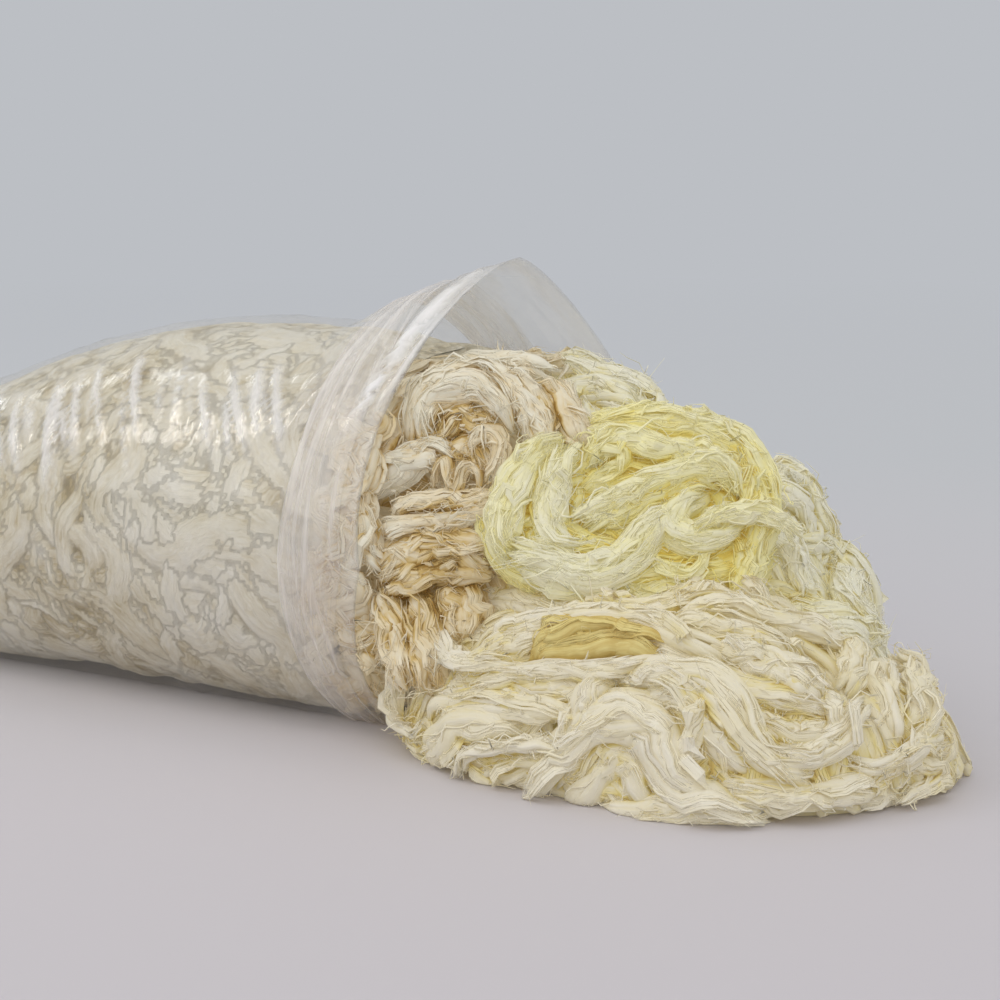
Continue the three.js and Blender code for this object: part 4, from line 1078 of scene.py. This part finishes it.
class OBJECT_OT_packed_cheese(bpy.types.Operator):
    """Makes the cheese in the bag: one skin of folded bands that overlap, pressed against the film. Each
    place of the skin takes its height from the highest band there, an arch across its width on a level of
    its own"""
    bl_idname = "cheese.packed"
    bl_label = "Packed Cheese"

    def execute(self, context):
        rng = rng_for(3)
        rows, sides, round_mm = 250, 330, 400.0
        pressed, press, deepest = 7.4, 0.85, 4.2
        angle = np.arange(sides) / sides * TURN
        x0, x1 = BAG_BACK + 9.0, 2.0
        edge = np.minimum(rim_x(angle) - 15, x1)
        count, along_steps, across_steps = 1250, 110, 34
        t = np.linspace(0, 1, along_steps)
        x = rng.uniform(x0 - 8, x1 + 8, (count, 1))
        q = rng.uniform(0, round_mm, (count, 1))
        flow = 55 + 50 * np.sin(x * 0.035 + 2 * np.sin(q * 0.035)) + 35 * np.sin(q * 0.06 - x * 0.02)
        way = np.radians(flow + rng.normal(0, 22, (count, 1))) + 0.8 * wander(rng, count, t, 1.0)[..., 0]
        step = rng.uniform(28, 110, (count, 1)) / along_steps
        x = x + np.cumsum(np.cos(way), 1) * step
        q = q + np.cumsum(np.sin(way), 1) * step
        half = rng.uniform(1.0, 2.9, (count, 1, 1)) ** 2
        half = half * ends_drawn_in(count, along_steps, 0.35, 0.12)[..., None]
        w = np.linspace(-1, 1, across_steps)
        level = rng.uniform(2.4, 4.2, (count, 1, 1)) + 0.6 * wander(rng, count, t, 1.6)
        ridge = 0.3 * np.sin(w * rng.uniform(3, 14, (count, 1, 1)) + 9 * wander(rng, count, t, 1.3))
        high = level + half**0.5 * 0.85 * np.sqrt(1 - w**2 * 0.98) + ridge
        px = x[..., None] - np.sin(way)[..., None] * w * half
        pq = q[..., None] + np.cos(way)[..., None] * w * half
        i = np.rint((px - x0) / (x1 - x0) * (rows - 1)).astype(int)
        j = np.rint(pq / round_mm * sides).astype(int) % sides
        run = t[None, :, None] * step[..., None] * along_steps + rng.uniform(0, 400, (count, 1, 1)) + 0 * w
        comb = w * half + rng.uniform(0, 200, (count, 1, 1))
        tint = np.broadcast_to(rng.normal(0.0, 0.09, (count, 1, 1)), high.shape)
        inside = (i >= 0) & (i < rows)
        order = np.argsort(high[inside])
        place = (i[inside][order], j[inside][order])
        fields = []
        gx, gq = np.linspace(x0, x1, rows)[:, None], np.linspace(0, round_mm, sides)[None]
        base = 3.7 + 0.5 * np.sin(gx * 0.5 + 4 * np.sin(gq * 0.09))
        base = base + 0.3 * np.sin(gq * 0.8 + 3 * np.sin(gx * 0.13))
        for values, under in ((high, base), (run, gx + 0 * gq), (comb, gq + 0 * gx), (tint, 0 * base)):
            field = under.copy()
            field[place] = values[inside][order]
            fields.append(field)
        high, run, comb, tint = fields
        soft = (high * 4 + np.roll(high, 1, 1) + np.roll(high, -1, 1)) / 6
        soft[1:-1] = (soft[1:-1] * 4 + soft[:-2] + soft[2:]) / 6
        soft = (soft * 2 + np.roll(soft, 1, 1) + np.roll(soft, -1, 1)) / 4
        soft[1:-1] = (soft[1:-1] * 2 + soft[:-2] + soft[2:]) / 4
        wide = soft.copy()
        for _ in range(5):
            wide = (wide + np.roll(wide, 1, 1) + np.roll(wide, -1, 1)) / 3
            wide[1:-1] = (wide[1:-1] + wide[:-2] + wide[2:]) / 3
        xs = np.minimum(np.linspace(x0, x1, rows)[:, None], edge[None])
        seam = smooth((xs - BAG_BACK) / 40)
        inset = 0.9 + seam * np.minimum(np.log1p(np.exp(pressed - soft)) * press, deepest) + 1.2 * (1 - seam)
        inset = inset + 5 * smooth((xs - edge + 8) / 8)
        points = self.under_hood(bag_at(xs, angle[None], inset))
        block = skin_block(points)
        block["comb"] = np.stack([run, comb], -1)[None]
        # Painted shade: the colour darkens where the skin lies below its blurred surroundings, in the creases
        # between folds.
        block["tone"] = np.clip(0.76 + (soft - wide) * 0.5, 0, 1)[None]
        block["tint"] = tint[None]
        colours = ramp_of(((0.46, 0.37, 0.20), (0.65, 0.585, 0.43), (0.745, 0.70, 0.575)), (0.78, 0.75, 0.66))
        finish = cheese_finish("packed cheese", colours, 0.55, lines=0.9, glow=0.03, crumple=0.35)
        settle(grid_mesh("packed_folds", [block]), "bag_cheese", finish)
        return {"FINISHED"}

    def under_hood(self, points):
        """Points kept below the top of the bag, where the film rises off them as a hood."""
        x, z = points[..., 0], points[..., 2]
        most = BAG_TOP - 13 * smooth((x + 46) / 30)
        points[..., 2] = np.where(z > most, most + (z - most) * 0.3, z)
        return points


def make_hank(prefix, node, looks, rng, groups, core, counts, ridge=0.07, shape=None):
    """The pieces of one hank: its core, its bands, the strands that comb their surfaces and its loose
    fibres. looks is the name, the colours and the glow of its finish, counts how many strands, loose
    strands and hairs it has."""
    band_sides, ribbon_sides, thread_sides = 10, 4, 3
    combed = riders(rng, groups, counts[0], length=(18, 72), size=(1.8, 5.0), samples=16, stray=1.5, curl=0.3,
                    sit=(0.48, 0.66), tint=0.02, roam=0.6, flat=0.22)
    loose = riders(rng, groups, counts[1], length=(14, 44), size=(0.4, 1.1), samples=16, stray=1.4, curl=1.3,
                   past=0.12, sit=(0.45, 0.7), tint=0.04, roam=0.8)
    hairs = riders(rng, [*groups, *combed], counts[2], length=(6, 20), size=hair_size(), samples=10,
                   stray=1.1,
                   curl=0.7, past=0.12, sit=(0.48, 0.75), tint=0.04, roam=0.8)
    bands = [carried(rng, g, band_sides, ridge, shape) for g in groups]
    strands = [carried(rng, g, ribbon_sides, 0.0, shape) for g in combed]
    turn = np.cos(np.arange(ribbon_sides) / ribbon_sides * TURN)
    for block, group in zip(strands, combed):
        across = group.width[..., None] * turn / 2 + block["around"][:, :1, None]
        block["comb"] = np.stack([np.broadcast_to(block["run"][..., None], across.shape), across], -1)
    curls = [carried(rng, g, thread_sides, 0.0, shape) for g in loose]
    down = [carried(rng, g, thread_sides, 0.0, shape) for g in hairs]
    # Painted shade: crowding darkens and yellows the colour in the crevices between the core, bands and
    # strands.
    crowding([*core, *bands, *strands])
    for block in (*curls, *down):
        block["tone"] = np.full(block["points"].shape[:3], 0.9)
    name, colours, glow = looks
    stops = ramp_of(*colours)
    # Threads glow 1.2 and down 1.6 times as much: painted light that lifts their shading.
    whole = cheese_finish(name + " bands", stops, glow=glow)
    frayed = cheese_finish(name + " threads", stops, frayed=True, glow=glow * 1.2)
    downy = cheese_finish(name + " down", stops, glow=glow * 1.6, plain=True)
    most_over = 25
    under = [b for b in bands if b["points"].shape[0] > most_over]
    over = [b for b in bands if b["points"].shape[0] <= most_over]
    pieces = {"_core": core, "_under": under, "_bands": over, "_strands": strands, "_curls": curls,
              "_down": down}
    for ending, blocks in pieces.items():
        finish = {"_strands": frayed, "_curls": downy, "_down": downy}.get(ending, whole)
        settle(grid_mesh(prefix + ending, blocks, even=finish is not frayed), node, finish)


def mound_core(rng, top, x0, x1, yc, half, shell):
    """A closed skin under a height surface: rows along X, each over the top from side to side and back
    along the floor, roughened by smooth random waves."""
    rows, cols, under = 70, 66, 18
    x = lerp(x0 + 1.5, x1 - 1.5, (1 - np.cos(np.pi * np.linspace(0, 1, rows))) / 2)[:, None]
    y = yc(x) - half(x) * np.cos(np.pi * np.linspace(0, 1, cols))
    rough = wander(rng, rows, np.linspace(0, 1, cols), 5)[..., 0]
    rough = rough + wander(rng, cols, np.linspace(0, 1, rows), 4)[..., 0].T
    z = np.maximum(0.5, top(x, y) - shell + 0.8 * rough)
    upper = np.stack(np.broadcast_arrays(x, y, z), -1)
    back = yc(x) + half(x) * np.cos(np.pi * np.linspace(0.05, 0.95, under))
    lower = np.stack(np.broadcast_arrays(x, back, 0.12), -1)
    return skin_block(np.concatenate([upper, lower], 1), -0.25)


class OBJECT_OT_front_hank(bpy.types.Operator):
    """Makes the front hank: bands that run its length over a loaf, with humps over its front edge"""
    bl_idname = "cheese.front_hank"
    bl_label = "Front Hank"

    def execute(self, context):
        rng = rng_for(4)
        top, hold = front_top, hold_front
        field, front_edge = (15, 165, -66, 15), (15, 168, -72, -45)
        groups = [
            mound_strands(rng, top, hold, 70, field, heading=(0, 14), length=(50, 130), depth=(3, 7),
                          width=(3.5, 7), thick=(2.5, 4)),
            mound_strands(rng, top, hold, 60, field, heading=(0, 24), length=(30, 80), depth=(1, 4),
                          width=(3, 7), thick=(2, 4)),
            mound_strands(rng, top, hold, 40, front_edge, heading=(0, 30), length=(20, 60), depth=(0, 3),
                          width=(3, 6), thick=(2, 4)),
            skirt_strands(rng, 64, front_outline, high=9, length=(0.15, 0.5), width=(3, 6.5)),
        ]
        groups += routed(rng, FRONT_ROUTES, lambda route, lift: seen_on_mound(top, hold, route, lift),
                         lambda curve: mound_normal(top, curve[:, 0], curve[:, 1]))

        def middle(x):
            return FRONT["yc"] + 25 * np.maximum(0, (x - 91) / 82) ** 3

        def half(x):
            return FRONT["half"] * np.sqrt(1 - (np.abs(x - 91) / 83) ** 3.2) * 0.84 + 0.5

        core = mound_core(rng, top, FRONT["x0"] + 4, FRONT["x1"] - 9, middle, half, shell=6)
        finish = ("cream cheese", (((0.56, 0.42, 0.14), (0.70, 0.60, 0.26), (0.725, 0.66, 0.465)),
                                   (0.75, 0.705, 0.58)), 0.10)
        make_hank("front", "front_hank", finish, rng, groups, [core], (1180, 420, 1750))
        return {"FINISHED"}


class OBJECT_OT_back_hank(bpy.types.Operator):
    """Makes the back hank: broad bands over a steep mound, with open loops down its loose end"""
    bl_idname = "cheese.back_hank"
    bl_label = "Back Hank"

    def execute(self, context):
        rng = rng_for(5)
        top, hold = back_top, hold_back
        field = (24, 140, -8, 70)
        groups = [
            mound_strands(rng, top, hold, 55, field, heading=(0, 20), length=(40, 110), depth=(3, 7),
                          width=(3.5, 7), thick=(2.5, 4)),
            mound_strands(rng, top, hold, 55, field, heading=(60, 40), length=(30, 80), depth=(0, 4),
                          width=(3, 7), thick=(2, 4)),
            skirt_strands(rng, 60, back_outline, high=12, length=(0.15, 0.45), width=(3, 7)),
        ]
        groups += routed(rng, BACK_ROUTES, lambda route, lift: seen_on_mound(top, hold, route, lift),
                         lambda curve: mound_normal(top, curve[:, 0], curve[:, 1]))

        def middle(x):
            return BACK["yc"] + 0 * x

        def half(x):
            return lerp(24, BACK["half"] - 6, smooth((x - 38) / 28)) * (1 - 0.35 * smooth((x - 95) / 30))

        core = mound_core(rng, top, BACK["x0"] + 4, BACK["x1"] - 34, middle, half, shell=7)
        finish = ("straw cheese", (((0.62, 0.51, 0.18), (0.72, 0.655, 0.36), (0.745, 0.715, 0.55)),
                                   (0.755, 0.735, 0.63)), 0.10)
        make_hank("back", "back_hank", finish, rng, groups, [core], (740, 260, 1250))
        return {"FINISHED"}


class OBJECT_OT_top_hank(bpy.types.Operator):
    """Makes the wreath: bundles wound round an oval, with an inner turn and a bundle laid across"""
    bl_idname = "cheese.top_hank"
    bl_label = "Wreath"

    def execute(self, context):
        rng = rng_for(6)
        centre, out = WREATH["centre"], wreath_axes()[2]
        groups = routed(rng, WREATH_ROUTES, lambda route, lift: seen_on_plane(centre, out, route, lift),
                        lambda curve: np.broadcast_to(out, curve.shape))
        t = np.linspace(0, 1, 40)
        for level, reach, turns in ((-9, 0.92, 0.0), (-13, 0.8, 2.2), (-6, 0.8, 4.1), (-3, 0.62, 1.2)):
            angle = turns - TURN * 0.95 * t
            right, up = WREATH["across"] * reach * np.cos(angle), WREATH["high"] * reach * np.sin(angle)
            ring = wreath_at(right, up, level + 3 * t)
            groups.append(bundle(rng, ring, (6, 6), 9, np.broadcast_to(out, ring.shape), tint=-0.2))
        groups.append(face_strands(rng, 46, centre, out, reach=(36, 17), deep=(-6, 1), heading=(15, 30),
                                   length=(20, 50), width=(2.5, 5.5), tint=-0.08))
        rows, sides = 40, 64
        tip = -np.cos(np.pi * np.linspace(0.04, 0.96, rows))[:, None]
        angles = np.arange(sides) / sides * TURN
        wide = np.sqrt(1 - tip**2)
        right, up = WREATH["across"] * 0.92 * wide, WREATH["high"] * 0.9 * wide
        middle = tip * 10 - 8 + 0 * angles
        core = skin_block(wreath_at(right * np.cos(angles), up * np.sin(angles), middle), tint=-0.25)
        finish = ("yellow cheese", (((0.66, 0.50, 0.10), (0.75, 0.66, 0.23), (0.765, 0.72, 0.41)),
                                    (0.755, 0.725, 0.54)), 0.10)
        make_hank("wreath", "top_hank", finish, rng, groups, [core], (1120, 430, 1750))
        return {"FINISHED"}


class OBJECT_OT_mouth_hank(bpy.types.Operator):
    """Makes the folded bands in the mouth: arches over its top, flat bands under them and a bundle below"""
    bl_idname = "cheese.mouth_hank"
    bl_label = "Mouth Hank"

    def execute(self, context):
        rng = rng_for(7)
        point, normal = MOUTH_FACE["point"], unit(np.array(MOUTH_FACE["normal"]))
        groups = routed(rng, MOUTH_ROUTES, lambda route, lift: seen_on_plane(point, normal, route, lift),
                        lambda curve: np.broadcast_to(normal, curve.shape))
        curve = spline(seen_on_plane(point, normal, SQUIGGLE, 6))
        squiggle = bundle(rng, curve, (1.3, 1.2), 2, np.broadcast_to(normal, curve.shape), 60, cover=0.95)
        rows, sides = 50, 96
        angles = np.arange(sides) / sides * TURN
        share = np.linspace(0, 1, rows)[:, None]
        bulge = np.clip((share - 0.4) / 0.6, 0, 1)
        shrink = np.sqrt(1 - (0.95 * bulge) ** 2)
        core = bag_at(np.full((rows, sides), MOUTH + 8.0), angles[None], 5.5)
        core = np.stack([lerp(MOUTH - 4, 4, share) + 0.16 * core[..., 1] * shrink, core[..., 1] * shrink,
                         (np.minimum(core[..., 2], 108) - 52) * shrink + 52], -1)
        groups.append(face_strands(rng, 60, (14, -40, 66), normal, reach=(30, 44), deep=(-7, 0),
                                   heading=(5, 30),
                                   length=(20, 50), width=(3, 7), tint=-0.1))
        count, samples = 80, 22
        t = np.linspace(0, 1, samples)
        angle = rng.uniform(0, TURN, (count, 1))
        angle = angle + np.cumsum(rng.choice([-1, 1], (count, 1)) * np.ones(samples), 1) * 0.018
        x = rim_x(angle) - rng.uniform(3, 20, (count, 1)) + 7 * wander(rng, count, t, 0.8)[..., 0]
        x = np.minimum(x, rim_x(angle) - 2)
        path = bag_at(x, angle, rng.uniform(4, 10, (count, 1)))
        path[..., 2] = np.minimum(path[..., 2], 112 + rng.uniform(-6, 3, (count, 1)))
        lie = unit(bag_at(x, angle, 0.0) - bag_at(x, angle, 8.0) + 1e-6)
        size = ends_drawn_in(count, samples)
        width = rng.uniform(3, 6.5, (count, 1)) * size
        thick = rng.uniform(2, 4, (count, 1)) * size
        groups.append(Strands(path, lie, width, thick, rng.normal(0.12, 0.1, count)))
        groups.append(squiggle)
        finish = ("tan cheese", (((0.34, 0.20, 0.05), (0.60, 0.44, 0.18), (0.735, 0.64, 0.45)),
                                 (0.765, 0.725, 0.60)), 0.07)
        make_hank("mouth", "mouth_hank", finish, rng, groups, [skin_block(core, -0.25)],
                  (640, 250, 1000), shape=lambda p: press_in(p, 0.8))
        return {"FINISHED"}


class SCENE_OT_stage(bpy.types.Operator):
    """Makes the pale floor, the soft lights and the camera at the photograph's viewpoint"""
    bl_idname = "cheese.stage"
    bl_label = "Stage"

    def execute(self, context):
        settings = context.scene.cheese_stage
        scene = context.scene
        distance = tuple(settings.distance)
        sides, reach = 96, 3.2
        angles = np.arange(sides) / sides * TURN
        ring = np.stack([np.cos(angles) * reach, np.sin(angles) * reach, 0 * angles - 0.0002], -1)
        mesh = bpy.data.meshes.new("floor")
        mesh.from_pydata([tuple(p) for p in ring], [], [tuple(range(sides))])
        floor = bpy.data.objects.new("floor", mesh)
        scene.collection.objects.link(floor)
        f = Finish("floor")
        x, y, _ = f.split(f.node("ShaderNodeTexCoord").outputs["Object"])
        away = (y * math.cos(math.radians(VIEW_TURN)) - x * math.sin(math.radians(VIEW_TURN)) + 0.1) * 1.6
        colour = f.blend(away.held(), (*settings.floor, 1.0), (*settings.distance_floor, 1.0))
        matt = f.node("ShaderNodeBsdfPrincipled", None, {"Base Color": colour, "Roughness": 0.8}).outputs[0]
        glow = f.node("ShaderNodeEmission", None, {"Color": (*distance, 1.0), "Strength": 1.0}).outputs[0]
        far = ((x * x + y * y) ** 0.5 - 0.5) * 0.8
        floor.data.materials.append(f.show(f.node("ShaderNodeMixShader", None, {
            0: far.held(), 1: matt, 2: glow}).outputs[0]))
        low = [(math.cos(a) * reach, math.sin(a) * reach, -0.01) for a in angles]
        behind = [max(0.0, math.cos(a - math.radians(90 + VIEW_TURN))) for a in angles]
        high = [(x, y, 0.7 + 1.6 * share) for (x, y, _), share in zip(low, behind)]
        mesh = bpy.data.meshes.new("wall")
        faces = [(i, (i + 1) % sides, sides + (i + 1) % sides, sides + i) for i in range(sides)]
        mesh.from_pydata(low + high, [], faces)
        wall = bpy.data.objects.new("wall", mesh)
        scene.collection.objects.link(wall)
        f = Finish("wall")
        glow = f.node("ShaderNodeEmission", None, {"Color": (*distance, 1.0)}).outputs[0]
        wall.data.materials.append(f.show(glow))

        world = bpy.data.worlds.new("soft room")
        scene.world = world
        world.use_nodes = True
        f = Finish(tree=world.node_tree)
        x, y, _ = f.split(f.node("ShaderNodeTexCoord").outputs["Object"])
        back = view_axes()[2]
        facing = x * float(back[0]) + y * float(back[1])
        strength = ((facing + 1.0) * 0.5) ** 1.5 * settings.front_strength + settings.sky_strength
        shade = f.node("ShaderNodeBackground", None, {0: (*settings.sky, 1.0), 1: strength})
        f.node("ShaderNodeOutputWorld", None, {0: shade.outputs[0]})

        suns = [
            ("above", (0.2, 0.2, 1.0), 80, settings.key_strength * 0.4, (1.0, 0.98, 0.94)),
            ("front", (0.1, -1.0, 0.8), 100, settings.key_strength, (1.0, 0.975, 0.93)),
        ]
        for name, place, spread, power, colour in suns:
            data = bpy.data.lights.new(name, "SUN")
            data.angle, data.energy, data.color = math.radians(spread), power, colour
            self.hang(scene, data, Vector(place))
        panels = [
            ("tall panel", (-0.54, -0.40, 0.72), (0.05, 0.7), settings.panel_power, (1.0, 0.94, 0.87)),
            ("top panel", (-0.75, 0.10, 0.66), (0.1, 0.3), settings.panel_power * 0.25, (0.97, 0.99, 1.0)),
        ]
        for name, way, size, power, colour in panels:
            data = bpy.data.lights.new(name, "AREA")
            data.shape, data.size, data.size_y, data.energy, data.color = "RECTANGLE", *size, power, colour
            self.hang(scene, data, Vector(way) * 1.5)

        data = bpy.data.cameras.new("camera")
        data.lens = data.sensor_width / 2 / math.tan(math.radians(VIEW_ANGLE / 2))
        camera = bpy.data.objects.new("camera", data)
        camera.location = (Vector(VIEW_TARGET) + Vector(back) * VIEW_DISTANCE) * MM
        camera.rotation_euler = Vector(-back).to_track_quat("-Z", "Y").to_euler()
        scene.collection.objects.link(camera)
        scene.camera = camera
        scene.view_settings.view_transform = "Standard"
        scene.cycles.transparent_max_bounces = 24
        scene.cycles.diffuse_bounces = 10
        return {"FINISHED"}

    def hang(self, scene, data, place):
        """Puts a light at a place, turned to the object."""
        lamp = bpy.data.objects.new(data.name, data)
        lamp.location = place
        lamp.rotation_euler = (Vector((0, 0, 0.05)) - place).to_track_quat("-Z", "Y").to_euler()
        scene.collection.objects.link(lamp)


class VIEW3D_PT_cheese(bpy.types.Panel):
    bl_label = "String Cheese"
    bl_idname = "VIEW3D_PT_cheese"
    bl_space_type = "VIEW_3D"
    bl_region_type = "UI"
    bl_category = "Cheese"

    def draw(self, context):
        for group in (context.scene.cheese_film, context.scene.cheese_strands, context.scene.cheese_stage):
            box = self.layout.box()
            for name in group.__annotations__:
                box.prop(group, name)
        for operator in OPERATORS:
            self.layout.operator(operator.bl_idname)


OPERATORS = (
    SCENE_OT_stage, OBJECT_OT_packed_cheese, OBJECT_OT_mouth_hank, OBJECT_OT_front_hank, OBJECT_OT_back_hank,
    OBJECT_OT_top_hank, OBJECT_OT_bag_film, OBJECT_OT_bag_cuff,
)
GROUPS = {"cheese_film": FilmSettings, "cheese_strands": StrandSettings, "cheese_stage": StageSettings}


def register():
    for kind in (*GROUPS.values(), *OPERATORS, VIEW3D_PT_cheese):
        bpy.utils.register_class(kind)
    for name, kind in GROUPS.items():
        setattr(bpy.types.Scene, name, PointerProperty(type=kind))


def unregister():
    for name in GROUPS:
        delattr(bpy.types.Scene, name)
    for kind in reversed((*GROUPS.values(), *OPERATORS, VIEW3D_PT_cheese)):
        bpy.utils.unregister_class(kind)


def main():
    register()
    for operator in OPERATORS:
        group, name = operator.bl_idname.split(".")
        getattr(getattr(bpy.ops, group), name)()


if __name__ == "__main__":
    main()
